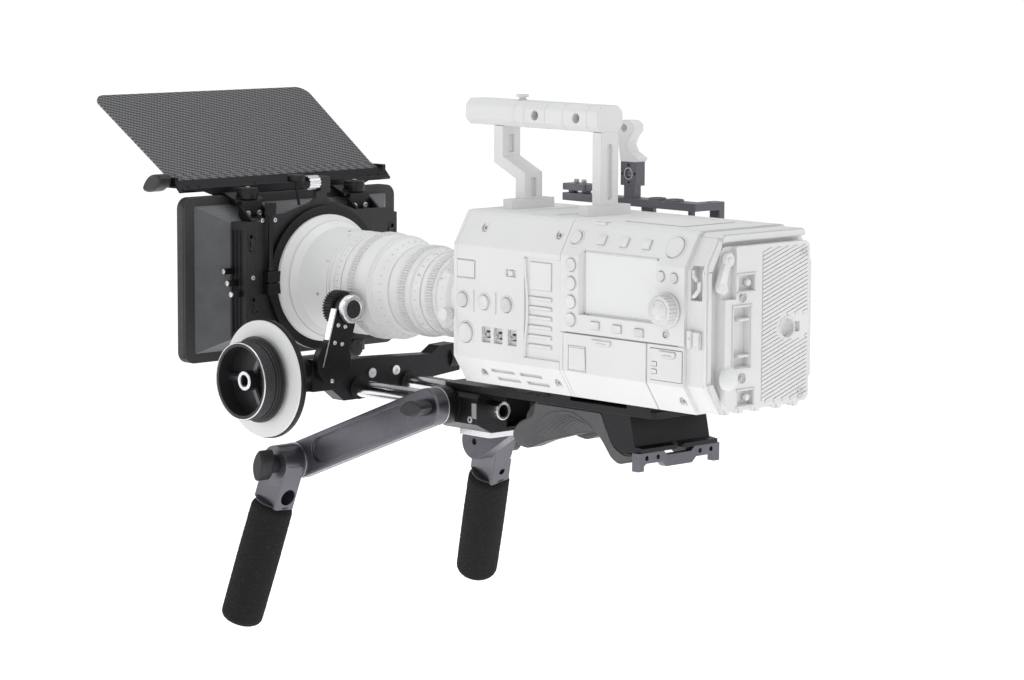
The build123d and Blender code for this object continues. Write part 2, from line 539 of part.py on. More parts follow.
def front_element():
    dome = Pos(0, 118.0, 0) * Sphere(113.0)
    return (cyl_y(GLASS_R, 3.0, 19.0) & dome) - cyl_y(38.0, 16.0, 20.0)


# ---- matte box ----
def mattebox_frame():
    ring = rounded(box(-FRAME_HALF, FRAME_HALF, FRAME_FRONT, FRAME_REAR, FRAME_BOTTOM, FRAME_TOP), Axis.Y, 10)
    hole = rounded(box(-108.0, 108.0, FRAME_FRONT - 1, FRAME_REAR + 1, -60.0, 63.0), Axis.Y, 6)
    ring -= hole
    groove = box(FRAME_HALF - 2.2, FRAME_HALF + 1, FRAME_FRONT + 2, FRAME_FRONT + 5.5, -20.0, 10.0)
    return ring - groove - mirrored(groove)


def hood_section(y, half, top, bottom):
    plane = Plane(origin=(0, y, (top + bottom) / 2), x_dir=(1, 0, 0), z_dir=(0, -1, 0))
    return plane * Rectangle(2 * half, top - bottom)


def mattebox_hood():
    front, rear = FRAME_REAR + 0.0, STAGE_FRONT
    wall = 2.0
    outer = loft([hood_section(rear, 90.6, 53.0, -51.0), hood_section(front, 112.6, 67.0, -64.0)])
    inner = loft([hood_section(rear + 0.01, 90.6 - wall, 53.0 - wall, wall - 51.0),
                  hood_section(front - 0.01, 112.6 - wall, 67.0 - wall, wall - 64.0)])
    return outer - inner


REAR_PLATE_T = 3.5
HOOKS = ((83.0, 41.5), (80.5, -14.5))      # swing-latch slots, mirrored to the other side
STUDS = ((81.5, 31.5), (78.0, -25.0))


def filter_stage():
    stage = box(-STAGE_HALF, STAGE_HALF, STAGE_FRONT, STAGE_REAR, STAGE_BOTTOM, STAGE_TOP)
    stage -= box(-74, 74, STAGE_FRONT - 1, STAGE_REAR - 3.8, -38, 41)
    arch = [(-86.5, 50.0), (-84.0, 57.0), (-80.0, 58.6), (-40.0, 58.6), (-22.0, 65.0), (-9.0, 68.5), (-5.2, 72.0),
            (-4.8, 77.0), (-9.0, 82.0), (2.0, 82.0), (2.0, 78.0), (7.4, 77.0), (8.0, 72.0), (12.0, 68.5), (24.0, 65.0),
            (42.0, 60.5), (62.0, 58.6), (68.0, 54.5), (74.0, 50.0)]
    stage += prism_y(arch, STAGE_REAR - REAR_PLATE_T, STAGE_REAR)
    for y in TRAY_Y:
        stage -= box(-84.0, STAGE_HALF + 1, y - TRAY_T / 2 - 0.2, y + TRAY_T / 2 + 0.2, -44.2, 47.2)
    stage -= cyl_y(47.0, STAGE_FRONT - 1, STAGE_REAR + 1)
    stage += box(-9.0, 2.2, -15.0, -5.0, 76.0, 90.5)
    stage -= cyl_x(2.0 + RUN, -10, 5, -10.0, STAGE_KNOB_Z)
    for side in (-1, 1):
        for x, z in HOOKS:
            stage -= cyl_y(3.4, STAGE_REAR - 2.0, STAGE_REAR + 1, side * x, z)
            tail = sorted((side * (x - 0.4), side * (x + 3.2)))
            stage -= box(*tail, STAGE_REAR - 2.0, STAGE_REAR + 1, z - 6.0, z)
        for x, z in STUDS:
            stage += cyl_y(3.2, STAGE_REAR - 1, STAGE_REAR + 1.2, side * x, z)
            stage -= cyl_y(1.4, STAGE_REAR + 0.4, STAGE_REAR + 2, side * x, z)
    stage += rounded(box(-60.0, -14.0, STAGE_REAR - 8, STAGE_REAR, -60.0, STAGE_BOTTOM + 1), Axis.Y, 2)
    stage += cyl_z(7.0, -69.5, -60.0, -44.0, -9.0) + cyl_z(3.0, -72.0, -69.0, -44.0, -9.0)
    return stage


def filter_tray(index):
    y, tab_z = TRAY_Y[index], TRAY_TAB_Z[index]
    tray = box(-83.6, STAGE_HALF - 0.5, y - TRAY_T / 2, y + TRAY_T / 2, -44.0, 47.0)
    tray -= box(-72, 72, y - 4, y + 4, -36, 39)
    tab = box(STAGE_HALF - 1, 101.0, y - 1.5, y + 1.5, tab_z - 2.6, tab_z + 2.6)
    return tray + tab


CLAMP_X, CLAMP_Y = 64.2, -0.6          # clamp screw axis
CLAMP_REAR = -0.3


def lens_clamp_ring():
    ring = cyl_y(65.0, STAGE_REAR, CLAMP_REAR) + box(55.0, 70.0, STAGE_REAR, 3.4, -10.0, 10.0)
    ring -= cyl_y(LENS_FRONT_R, -8, 5) + box(50.0, 80.0, -8, 5, -0.8, 0.8)
    return ring - cyl_z(2.2 + RUN, -20, 20, CLAMP_X, CLAMP_Y) - cyl_z(3.6, 10.0, 30, CLAMP_X, CLAMP_Y)


def clamp_screw():
    screw = cyl_z(2.2, -9.0, 62.0, CLAMP_X, CLAMP_Y) + cyl_z(3.2, 10.3, 13.0, CLAMP_X, CLAMP_Y)
    return screw + Pos(CLAMP_X, CLAMP_Y, 0) * prism_z(ribbed_outline(5.2, 0.5, 12), 60.0, 71.0)


KNOB_X, KNOB_Y = 62.7, -34.1           # flag bracket thumb nuts
LEG_REAR = -27.0
FLAG_SCREW_Z = 59.4


def flag_bracket():
    slope = [(-62.0, 89.6), (-52.8, 80.6), (-54.4, 79.0), (-63.6, 88.0)]
    bar = prism_x(slope, -BRACKET_HALF, BRACKET_HALF)
    for side in (-1, 1):
        def span(a, b):
            return sorted((side * a, side * b))
        bar += prism_x([(-52.8, 80.6), (-52.8, 75.3), (-54.4, 75.3), (-54.4, 79.0)], *span(47.0, 79.0))
        sheet = [(-54.4, 75.3), (-47.0, 75.3), (-30.0, 69.0), (-30.0, 71.6), (-46.5, 77.6), (-54.4, 77.6)]
        bar += prism_x(sheet, *span(47.0, 79.0))
        bar += box(*span(52.0, 75.0), -44.0, LEG_REAR, 67.0, 71.2)
        bar += prism_x([(-30.0, 58.4), (LEG_REAR, 56.9), (LEG_REAR, 69.0), (-30.0, 69.0)], *span(52.0, 75.0))
        for inner in (50.0, 75.0):
            cheek = [(-29.5, 68.0), (-29.5, 58.2), (-24.9, STAGE_TOP), (-10.0, STAGE_TOP), (LEG_REAR + 1, 66.0)]
            bar += prism_x(cheek, *span(inner, inner + 2.0))
        bar += box(*span(BRACKET_HALF - 3.6, BRACKET_HALF), -73.5, -60.0, 83.0, 92.5)
        bar += cyl_z(9.4, 72.6, 80.7, side * KNOB_X, KNOB_Y) + cyl_z(3.0, 71.0, 73.0, side * KNOB_X, KNOB_Y)
        bar += cyl_z(2.6, 80.0, 82.6, side * KNOB_X, KNOB_Y)
        bar -= cyl_x(2.0 + RUN, *span(118, 130), FLAG_HINGE_Y, FLAG_HINGE_Z)
        for dx in (-6.6, 6.6):
            bar -= cyl_y(1.6, -32, -20, side * 62.5 + dx, FLAG_SCREW_Z)
    return bar


def top_flag():
    near, far_half = FLAG_NEAR_HALF, FLAG_FAR_HALF
    sheet = prism_z([(-near, 0), (near, 0), (far_half, -FLAG_LENGTH), (-far_half, -FLAG_LENGTH)], -0.9, 0.9)
    far = sheet.edges().filter_by(Axis.Z).sort_by(Axis.Y)[:2]
    sheet = fillet(far, 12)
    lip = box(-near, near, -7.0, 0.0, -2.0, 2.0)
    barrel = cyl_x(3.0, -near, near, 0, 0) + cyl_x(2.0, -BRACKET_HALF + 0.2, BRACKET_HALF + 3.0, 0, 0)
    flag = Rot(-FLAG_TILT, 0, 0) * (sheet + lip) + barrel
    return Pos(0, FLAG_HINGE_Y, FLAG_HINGE_Z) * flag


def leaf_knob(x0, depth, y, z, turn, stem=None):
    """A leaf-shaped clamp knob on a stem along X; depth is negative for one that points to -X."""
    big, offset, half = 19.5, 12.6, 13.6
    face = cyl_x(big, 0, abs(depth), 0, offset) & cyl_x(big, 0, abs(depth), 0, -offset)
    face &= box(0, abs(depth), -half, half, -20, 20)
    face = chamfer(face.faces().sort_by(Axis.X)[-1].edges(), 1.6)
    if depth < 0:
        face = mirrored(face)
    knob = Pos(x0, y, z) * Rot(turn, 0, 0) * face
    if stem:
        s0, s1, r = stem
        knob += cyl_x(r, min(s0, s1), max(s0, s1), y, z)
    return knob


def flag_lock_knob():
    knob = leaf_knob(BRACKET_HALF + 7.0, 13.0, FLAG_HINGE_Y, FLAG_HINGE_Z, 25.0)
    knob += cyl_x(4.5, BRACKET_HALF + GAP, BRACKET_HALF + 8.0, FLAG_HINGE_Y, FLAG_HINGE_Z)
    return knob - cyl_x(2.0 + RUN, BRACKET_HALF - 1, BRACKET_HALF + 3.4, FLAG_HINGE_Y, FLAG_HINGE_Z)


STAGE_KNOB_Z = 85.5


def stage_lock_knob():
    knob = prism_x([(-10.0 + y, STAGE_KNOB_Z + z) for y, z in ribbed_outline(6.4, 0.9, 12)], 2.5, 15.0)
    return knob + cyl_x(2.0, -8.0, 3.0, -10.0, STAGE_KNOB_Z)


# ---- follow focus ----
def focus_bridge():
    outline = [(60.0, -62.0), (-58.0, -66.5), (-68.0, -60.0), (-86.0, -59.0), (-92.0, -64.0), (-92.0, -84.0),
               (-52.0, -88.0), (-44.0, -99.0), (-17.0, -99.0), (-13.0, -90.0), (13.0, -90.0), (17.0, -99.0),
               (46.0, -99.0), (60.0, -88.0)]
    bar = prism_y(outline, 62.0, 77.0)
    for x in (-ROD_X, ROD_X):
        bar += cyl_y(9.8, 60.0, 79.5, x, ROD_Z)
        bar -= cyl_y(ROD_R + 0.03, 50, 90, x, ROD_Z)
    for x in (-14.0, 14.0):
        bar -= cyl_y(2.5, 70.0, 80.0, x, -77.0)
    bar += cyl_x(11.0, -96.0, -80.0, 69.5, -72.0)
    return bar - cyl_x(4.0, -100.0, -86.0, 69.5, -72.0)


def focus_gearbox():
    body = cyl_x(16.0, 60.0, 127.0, WHEEL_Y, WHEEL_Z)
    body += box(62.0, 94.0, WHEEL_Y, ARM_FRONT, WHEEL_Z - 14, WHEEL_Z + 14)
    body -= cyl_x(12.5, 64.0, 119.0, WHEEL_Y, WHEEL_Z)
    body -= cyl_x(4.0 + RUN, 110.0, 130.0, WHEEL_Y, WHEEL_Z)
    body -= cyl_y(11.2, WHEEL_Y, WHEEL_Y + 11.2, OUTPUT_X, WHEEL_Z)
    return body - cyl_y(3.0 + RUN, 80.0, 100.0, OUTPUT_X, WHEEL_Z)


def bevel(start, end):
    """Pitch cone frustum about Z with its apex at the origin."""
    return Pos(0, 0, (start + end) / 2) * Cone(start - CONE_GAP, end - CONE_GAP, end - start)


def focus_handwheel():
    rim = cyl_x(33.3, 148.6, 160.5, WHEEL_Y, WHEEL_Z) + cyl_x(31.6, 146.0, 149.0, WHEEL_Y, WHEEL_Z)
    rim += cyl_x(35.2, 141.0, 146.4, WHEEL_Y, WHEEL_Z)
    rim = chamfer(rim.faces().sort_by(Axis.X)[-1].edges(), 0.6)
    rim -= cyl_x(29.8, 145.0, 164.0, WHEEL_Y, WHEEL_Z)
    rim += cyl_x(8.5, 140.0, 156.0, WHEEL_Y, WHEEL_Z)
    rim += cyl_x(30.0, 137.5, 141.0, WHEEL_Y, WHEEL_Z)
    rim -= box(147.0, 157.0, WHEEL_Y - 4, WHEEL_Y + 4, WHEEL_Z - 4, WHEEL_Z + 4)
    for angle in (90, 210, 330):
        spoke = box(144.5, 149.0, -3.5, 3.5, 7.0, 31.0)
        rim += Pos(0, WHEEL_Y, WHEEL_Z) * Rot(angle, 0, 0) * spoke
    shaft = cyl_x(4.0, OUTPUT_X + 10.0, 141.0, WHEEL_Y, WHEEL_Z)
    gear = Pos(OUTPUT_X, WHEEL_Y, WHEEL_Z) * Rot(0, 90, 0) * bevel(6.5, 10.5)
    return rim + shaft + gear


def marking_disk():
    disk = cyl_x(50.3, 134.0, 137.4, WHEEL_Y, WHEEL_Z) + cyl_x(51.0, 130.5, 134.0, WHEEL_Y, WHEEL_Z)
    return disk - cyl_x(4.0 + 0.02, 129.0, 140.0, WHEEL_Y, WHEEL_Z)


def focus_output_shaft():
    gear = Pos(OUTPUT_X, WHEEL_Y, WHEEL_Z) * Rot(-90, 0, 0) * bevel(6.5, 10.5)
    shaft = cyl_y(3.0, WHEEL_Y + 10.0, 96.4, OUTPUT_X, WHEEL_Z)
    return gear + shaft + cyl_y(PULLEY_R, 93.0, 96.0, OUTPUT_X, WHEEL_Z)


ARM_LOW = (75.0, -60.0)
BULB_R = 19.0


def focus_arm():
    arm = tapered_bar_y(ARM_LOW, (PINION_X, PINION_Z), 13.6, 11.2, ARM_FRONT, ARM_REAR)
    arm += cyl_y(BULB_R, ARM_FRONT, ARM_REAR, *ARM_LOW)
    room = PULLEY_R + BELT_T + 0.9
    arm -= tapered_bar_y((OUTPUT_X, WHEEL_Z), (PINION_X, PINION_Z), room + 0.01, room, ARM_FRONT - 1, ARM_REAR - 1.6)
    arm -= cyl_y(3.0 + RUN, ARM_REAR - 2, ARM_REAR + 1, PINION_X, PINION_Z)
    for share, spread in ((0.34, 4.2), (0.60, 4.8), (1.30, 0.0)):
        x = PINION_X + share * (ARM_LOW[0] - PINION_X)
        z = PINION_Z + share * (ARM_LOW[1] - PINION_Z)
        for side in ((-1, 1) if spread else (0,)):
            arm += cyl_y(1.3, ARM_REAR - 0.5, ARM_REAR + 0.7, x + side * spread, z)
    return arm


def focus_belt():
    inner, outer = PULLEY_R + GAP, PULLEY_R + GAP + BELT_T
    a, b = (OUTPUT_X, WHEEL_Z), (PINION_X, PINION_Z)
    return tapered_bar_y(a, b, outer + 0.01, outer, 93.0, 96.0) - tapered_bar_y(a, b, inner + 0.01, inner, 92.0, 97.0)


def focus_pinion():
    phase = math.pi + PINION_ANGLE + math.pi / PINION_TEETH
    gear = Pos(PINION_X, 0, PINION_Z) * prism_y(gear_outline(PINION_TEETH, phase), 80.6, 90.8)
    shaft = cyl_y(3.0, 79.0, 104.0, PINION_X, PINION_Z)
    pulley = cyl_y(PULLEY_R, 93.0, 96.0, PINION_X, PINION_Z)
    cap = Pos(PINION_X, 0, PINION_Z) * prism_y(ribbed_outline(11.4, 0.5, 30), ARM_REAR + GAP, 105.0)
    return gear + shaft + pulley + cap - cyl_y(7.5, 104.0, 106.0, PINION_X, PINION_Z)


# ---- shoulder base ----
PLATE_THREADS_Y = (214.5, 239.5)


def support_rods():
    rods = [cyl_y(ROD_R, ROD_FRONT, ROD_REAR, x, ROD_Z) - cyl_y(ROD_BORE_R, ROD_FRONT - 1, ROD_REAR + 1, x, ROD_Z)
            for x in (-ROD_X, ROD_X)]
    return rods[0] + rods[1]


def bridge_block():
    outline = [(48.0, PLATE_BOTTOM - 5), (48.0, -101.0), (31.0, -109.5), (-31.0, -109.5), (-48.0, -101.0),
               (-48.0, PLATE_BOTTOM - 5), (-43.0, PLATE_BOTTOM), (43.0, PLATE_BOTTOM)]
    block = prism_y(outline, 192.0, 250.0)
    for side in (-1, 1):
        x0, x1 = sorted((side * 47.0, side * HUB_FACE))
        block += cyl_x(ROSETTE_R, x0, x1, HUB_Y, HUB_Z)
        bore0, bore1 = sorted((side * 44.0, side * (HUB_FACE + 1)))
        block -= cyl_x(STEM_R + RUN, bore0, bore1, HUB_Y, HUB_Z)
        block -= cyl_y(ROD_R + 0.03, 190.0, 252.0, side * ROD_X, ROD_Z)
    block -= box(-14.0, 14.0, 190.0, 252.0, -106.0, -80.0)
    block -= cyl_z(5.0, -111, -105, TRIPOD[0], TRIPOD[1])
    for y in PLATE_THREADS_Y:
        block -= cyl_z(3.4, -111, -105, 0, y)
    return block


def tripod_plate():
    plate = rounded(box(-30, 30, 207.0, 247.0, TRIPOD[2], -109.5), Axis.Z, 4)
    plate -= cyl_z(THREAD_3_8_R, -120, -100, TRIPOD[0], TRIPOD[1])
    for y in PLATE_THREADS_Y:
        plate -= cyl_z(THREAD_1_4_R, -120, -100, 0, y)
    return plate


def shoulder_plate():
    plate = rounded(box(-BASE_HALF, BASE_HALF, 205.0, 454.0, PLATE_BOTTOM, PLATE_TOP), Axis.Z, 4)
    for y0, y1 in ((335.0, 358.0), (423.0, 449.0)):
        plate += box(-BASE_HALF, BASE_HALF, y0, y1, PLATE_TOP - 1, FLOOR)
    wedge = [(393.4, PLATE_BOTTOM + 1), (398.6, -85.2), (407.6, -100.2), (419.0, -105.6), (431.0, -103.2),
             (440.0, -103.2), (440.0, -99.6), (431.0, -98.6), (425.4, PLATE_BOTTOM + 1)]
    plate += prism_x(wedge, -BASE_HALF + 1, BASE_HALF - 1)
    plate -= box(-24, 24, 262.0, 325.0, PLATE_BOTTOM - 1, PLATE_TOP + 1)
    for y in (346.5, 436.0):
        plate -= cyl_z(3.2, -120, FLOOR + 1, 0, y) + cyl_z(5.5, -120, -80, 0, y)
    return plate


def shoulder_pad():
    roof = PLATE_BOTTOM
    outline = [(313.5, roof), (312.4, -85.9), (294.5, -93.7), (286.2, -104.0), (292.0, -113.0), (305.5, -114.8),
               (326.0, -106.5), (346.8, -100.6), (366.0, -95.6), (385.0, -91.8), (393.0, -99.5), (402.0, -111.0),
               (411.0, -115.5), (430.0, -111.0), (430.0, -104.4), (419.0, -106.2), (407.2, -100.6), (398.1, -85.3),
               (393.0, roof)]
    return prism_x(outline, -BASE_HALF + 1, BASE_HALF - 1)


def rear_bracket():
    outline = [(47.5, -103.2), (47.5, -118.0), (40.8, -118.0), (40.8, -114.0), (38.0, -112.0), (20.0, -112.0),
               (15.0, -116.5), (-15.0, -116.5), (-20.0, -112.0), (-38.0, -112.0), (-40.8, -114.0), (-40.8, -118.0),
               (-47.5, -118.0), (-47.5, -103.2), (-18.0, -103.2), (-14.0, -107.0), (14.0, -107.0), (18.0, -103.2)]
    bar = prism_y(outline, 432.0, 439.0)
    for x in (-37.5, -24.5, 24.5, 37.5):
        bar -= cyl_y(2.1, 430, 441, x, -107.6)
    return bar


# ---- arms and grips ----
def left_arm():
    x0, x1 = HUB_FACE + GAP, HUB_FACE + GAP + ARM_T
    arm = capsule_x(HUB_Y, HUB_Z, LEFT_GRIP_Y, LEFT_GRIP_Z, ROSETTE_R, x0, x1)
    angle = math.atan2(HUB_Z - LEFT_GRIP_Z, HUB_Y - LEFT_GRIP_Y)
    reach = math.dist((HUB_Y, HUB_Z), (LEFT_GRIP_Y, LEFT_GRIP_Z))

    def point(share):
        return (LEFT_GRIP_Y + share * reach * math.cos(angle), LEFT_GRIP_Z + share * reach * math.sin(angle))

    arm -= capsule_x(*point(0.2), *point(0.8), 11.5, x1 - 2.5, x1 + 1)
    arm = chamfer(arm.faces().sort_by(Axis.X)[-1].outer_wire().edges(), 1.4)
    arm -= cyl_x(STEM_R + RUN, x0 - 1, x1 + 1, HUB_Y, HUB_Z)
    return arm - cyl_x(STEM_R + RUN, x0 - 1, x1 + 1, LEFT_GRIP_Y, LEFT_GRIP_Z)


def right_arm():
    x0, x1 = -HUB_FACE - ARM_T, -HUB_FACE
    arm = capsule_x(HUB_Y, HUB_Z, RIGHT_GRIP_Y, RIGHT_GRIP_Z, ROSETTE_R, x0, x1)
    arm += cyl_x(STEM_R + RUN, -HUB_FACE - 1, -46.0, HUB_Y, HUB_Z)
    return arm - cyl_x(STEM_R + RUN, x0 - 1, x1 + 1, RIGHT_GRIP_Y, RIGHT_GRIP_Z)


LEFT_TILT, LEFT_LEAN = 19.3, 3.2
RIGHT_TILT, RIGHT_LEAN = 26.8, 15.5


def grip_frame(side):
    """Knuckle centre with its local -Z along the grip."""
    if side > 0:
        x0 = HUB_FACE + 2 * GAP + ARM_T
        return Pos(x0 + BLOCK_T / 2, LEFT_GRIP_Y, LEFT_GRIP_Z) * Rot(-LEFT_TILT, 0, 0) * Rot(0, -LEFT_LEAN, 0)
    x0 = -HUB_FACE - GAP - ARM_T
    return Pos(x0 - BLOCK_T / 2, RIGHT_GRIP_Y, RIGHT_GRIP_Z) * Rot(-RIGHT_TILT, 0, 0) * Rot(0, RIGHT_LEAN, 0)


def grip_block(side, hole_r):
    centre = grip_frame(side).position
    x0, x1 = centre.X - BLOCK_T / 2, centre.X + BLOCK_T / 2
    top = 3.0 if side > 0 else 15.0
    slab = Box(BLOCK_T - 1.5, 32, 39 + top)
    body = grip_frame(side) * Pos(0, 0, (top - 39) / 2) * chamfer(slab.edges().filter_by(Axis.Z), 1.5)
    inner_side = box(x0, x1 + 60, -100, 300, -400, 0) if side > 0 else box(x0 - 60, x1, -100, 300, -400, 0)
    outer_side = box(*((x1, x1 + 60) if side > 0 else (x0 - 60, x0)), -100, 300, centre.Z - 19, 0)
    body = (body & inner_side) - outer_side
    body += cyl_x(ROSETTE_R, x0, x1, centre.Y, centre.Z)
    body += grip_frame(side) * Pos(0, 0, -(GRIP_END - 4 + 36) / 2) * Cylinder(CORE_R, GRIP_END - 4 - 36)
    body -= grip_frame(side) * Pos(0, 4.0, -27) * Rot(90, 0, 0) * Pos(0, 0, -10) * Cylinder(hole_r, 26)
    return body - cyl_x(STEM_R + RUN, x0 - 60, x1 + 60, centre.Y, centre.Z)


def foam_grip(side):
    length = GRIP_END - GRIP_START
    sleeve = fillet(Cylinder(FOAM_R, length).edges(), 7) - Cylinder(CORE_R + 0.1, 2 * length)
    cap = Pos(0, 0, -length / 2 + 1.5) * Cylinder(CORE_R + 1, 3)
    return grip_frame(side) * Pos(0, 0, -(GRIP_START + GRIP_END) / 2) * (sleeve + cap)


def left_arm_knob():
    face = HUB_FACE + GAP + ARM_T
    return leaf_knob(face + 4.0, 14.0, HUB_Y, HUB_Z, 12.0, (46.0, face + 6.0, STEM_R)) \
        + cyl_x(7.0, face + GAP, face + 5.0, HUB_Y, HUB_Z)


def left_grip_knob():
    face = HUB_FACE + 2 * GAP + ARM_T + BLOCK_T
    return leaf_knob(face + 6.0, 14.0, LEFT_GRIP_Y, LEFT_GRIP_Z, 78.0, (62.0, face + 8.0, STEM_R)) \
        + cyl_x(8.0, face + GAP, face + 7.0, LEFT_GRIP_Y, LEFT_GRIP_Z)


def right_grip_knob():
    face = -HUB_FACE - GAP - ARM_T - BLOCK_T
    return leaf_knob(face - 6.0, -14.0, RIGHT_GRIP_Y, RIGHT_GRIP_Z, 78.0, (face - 8.0, -62.0, STEM_R)) \
        + cyl_x(8.0, face - 7.0, face - GAP, RIGHT_GRIP_Y, RIGHT_GRIP_Z)


def face_screws():
    """Ring-faced cap screws on the follow focus bridge and the flag brackets."""
    screws = None
    places = [(x, 77.0, -77.0, 4.3, 2.3) for x in (-14.0, 14.0)]
    places += [(side * 62.5 + dx, LEG_REAR, FLAG_SCREW_Z, 3.0, 1.5) for side in (-1, 1) for dx in (-6.6, 6.6)]
    for x, y, z, head_r, stem_r in places:
        screw = cyl_y(head_r, y, y + 1.8, x, z) + cyl_y(stem_r, y - 5, y + 1, x, z)
        screw -= cyl_y(head_r * 0.42, y + 0.6, y + 3, x, z)
        screws = screw if screws is None else screws + screw
    return screws


NODES = {
    "head_shell": head_shell, "head_front_plate": head_front_plate, "mount_lock_ring": mount_lock_ring,
    "sensor_block": sensor_block, "nd_knob": nd_knob, "recorder_shell": recorder_shell, "card_door": card_door,
    "screen_panel": screen_panel, "screen_keypad": screen_keypad, "top_keypad": top_keypad,
    "head_keypad": head_keypad, "head_toggles": head_toggles, "jog_dial": jog_dial,
    "battery_plate": battery_plate, "battery_release_lever": battery_release_lever,
    "handle_bar": handle_bar, "handle_posts": handle_posts,
    "side_arm": side_arm, "viewfinder_bracket": viewfinder_bracket,
    "lens_barrel": lens_barrel, "focus_ring": focus_ring, "zoom_ring": zoom_ring, "iris_ring": iris_ring,
    "front_element": front_element,
    "mattebox_frame": mattebox_frame, "mattebox_hood": mattebox_hood, "filter_stage": filter_stage,
    "filter_tray_1": lambda: filter_tray(0), "filter_tray_2": lambda: filter_tray(1),
    "filter_tray_3": lambda: filter_tray(2), "lens_clamp_ring": lens_clamp_ring, "clamp_screw": clamp_screw,
    "flag_bracket": flag_bracket, "top_flag": top_flag, "flag_lock_knob": flag_lock_knob,
    "stage_lock_knob": stage_lock_knob,
    "focus_bridge": focus_bridge, "focus_gearbox": focus_gearbox, "focus_handwheel": focus_handwheel,
    "marking_disk": marking_disk, "focus_output_shaft": focus_output_shaft, "focus_arm": focus_arm,
    "focus_belt": focus_belt, "focus_pinion": focus_pinion,
    "support_rods": support_rods, "bridge_block": bridge_block, "tripod_plate": tripod_plate,
    "shoulder_plate": shoulder_plate, "shoulder_pad": shoulder_pad, "rear_bracket": rear_bracket,
    "left_arm": left_arm, "left_arm_knob": left_arm_knob, "left_grip_knob": left_grip_knob,
    "left_grip_block": lambda: grip_block(1, 7.6), "left_foam_grip": lambda: foam_grip(1),
    "right_arm": right_arm, "right_grip_knob": right_grip_knob,
    "right_grip_block": lambda: grip_block(-1, 3.2), "right_foam_grip": lambda: foam_grip(-1),
    "face_screws": face_screws,
}


def main():
    os.makedirs("parts", exist_ok=True)
    shift = Pos(-TRIPOD[0], -TRIPOD[1], -TRIPOD[2])
    for name, make in NODES.items():
        export_step(shift * make(), f"parts/{name}.step")


main()
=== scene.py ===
import bpy
import bmesh
import json
import math
import random
from mathutils import Matrix, Vector, noise


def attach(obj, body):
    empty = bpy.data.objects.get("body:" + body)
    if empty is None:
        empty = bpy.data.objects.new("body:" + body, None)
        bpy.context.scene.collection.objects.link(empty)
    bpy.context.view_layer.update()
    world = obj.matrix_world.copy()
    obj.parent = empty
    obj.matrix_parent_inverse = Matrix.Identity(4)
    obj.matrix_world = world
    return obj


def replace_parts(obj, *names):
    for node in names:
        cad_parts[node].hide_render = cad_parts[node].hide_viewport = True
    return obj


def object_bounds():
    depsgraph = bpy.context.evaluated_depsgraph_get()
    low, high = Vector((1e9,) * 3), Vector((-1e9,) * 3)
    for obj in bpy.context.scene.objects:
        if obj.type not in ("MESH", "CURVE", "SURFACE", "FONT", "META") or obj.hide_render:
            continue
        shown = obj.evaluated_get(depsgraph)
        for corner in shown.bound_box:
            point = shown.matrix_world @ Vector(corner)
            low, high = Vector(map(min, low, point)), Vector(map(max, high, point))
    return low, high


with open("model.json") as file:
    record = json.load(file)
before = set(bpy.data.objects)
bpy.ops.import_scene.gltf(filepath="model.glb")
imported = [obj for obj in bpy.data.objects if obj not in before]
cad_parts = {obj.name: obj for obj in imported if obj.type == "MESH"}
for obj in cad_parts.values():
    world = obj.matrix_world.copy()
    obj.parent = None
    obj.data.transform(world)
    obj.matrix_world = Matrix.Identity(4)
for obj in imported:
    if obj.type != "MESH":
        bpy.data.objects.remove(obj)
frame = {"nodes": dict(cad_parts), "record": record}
cad_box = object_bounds()
NODES = frame["nodes"]
random.seed(7)

# Layout frame of the rig in millimetres: lens axis at x = z = 0, lens front at y = 0.
ORIGIN = (0, 227, -114.5)
MM = 0.001


def row(x, y, z):
    """Layout millimetres to metres in the row frame."""
    return Vector(((x - ORIGIN[0]) * MM, (y - ORIGIN[1]) * MM, (z - ORIGIN[2]) * MM))


# ---------------------------------------------------------------- camera, light, floor
LENS_MM = 120.62
VIEW_AZIMUTH, VIEW_ELEVATION, VIEW_ROLL = 136.39, 7.22, 0.25
VIEW_PLACE = (1992.3, 2333.3, 332.3)
FLOOR_DROP = 0.26


def look_camera():
    """The camera of the reference view."""
    cam = bpy.data.cameras.new("view_camera")
    cam.sensor_width = 36.0
    cam.lens = LENS_MM
    cam.clip_start, cam.clip_end = 0.05, 400
    obj = bpy.data.objects.new("view_camera", cam)
    bpy.context.scene.collection.objects.link(obj)
    azimuth, elevation, roll = (math.radians(v) for v in (VIEW_AZIMUTH, VIEW_ELEVATION, VIEW_ROLL))
    back = Vector((math.sin(azimuth) * math.cos(elevation), -math.cos(azimuth) * math.cos(elevation),
        math.sin(elevation)))
    right = Vector((0, 0, 1)).cross(back).normalized()
    up = back.cross(right)
    level = right * math.cos(roll) + up * math.sin(roll)
    upright = up * math.cos(roll) - right * math.sin(roll)
    matrix = Matrix((level, upright, back)).transposed().to_4x4()
    matrix.translation = row(*VIEW_PLACE)
    obj.matrix_world = matrix
    bpy.context.scene.camera = obj


def area_light(name, location, target, size, power, color=(1, 1, 1)):
    data = bpy.data.lights.new(name, "AREA")
    data.shape = "RECTANGLE"
    data.size, data.size_y = size
    data.energy = power
    data.color = color
    obj = bpy.data.objects.new(name, data)
    bpy.context.scene.collection.objects.link(obj)
    obj.location = location
    obj.rotation_mode = "QUATERNION"
    obj.rotation_quaternion = (Vector(target) - Vector(location)).to_track_quat("-Z", "Y")
    obj.visible_camera = False
    return obj


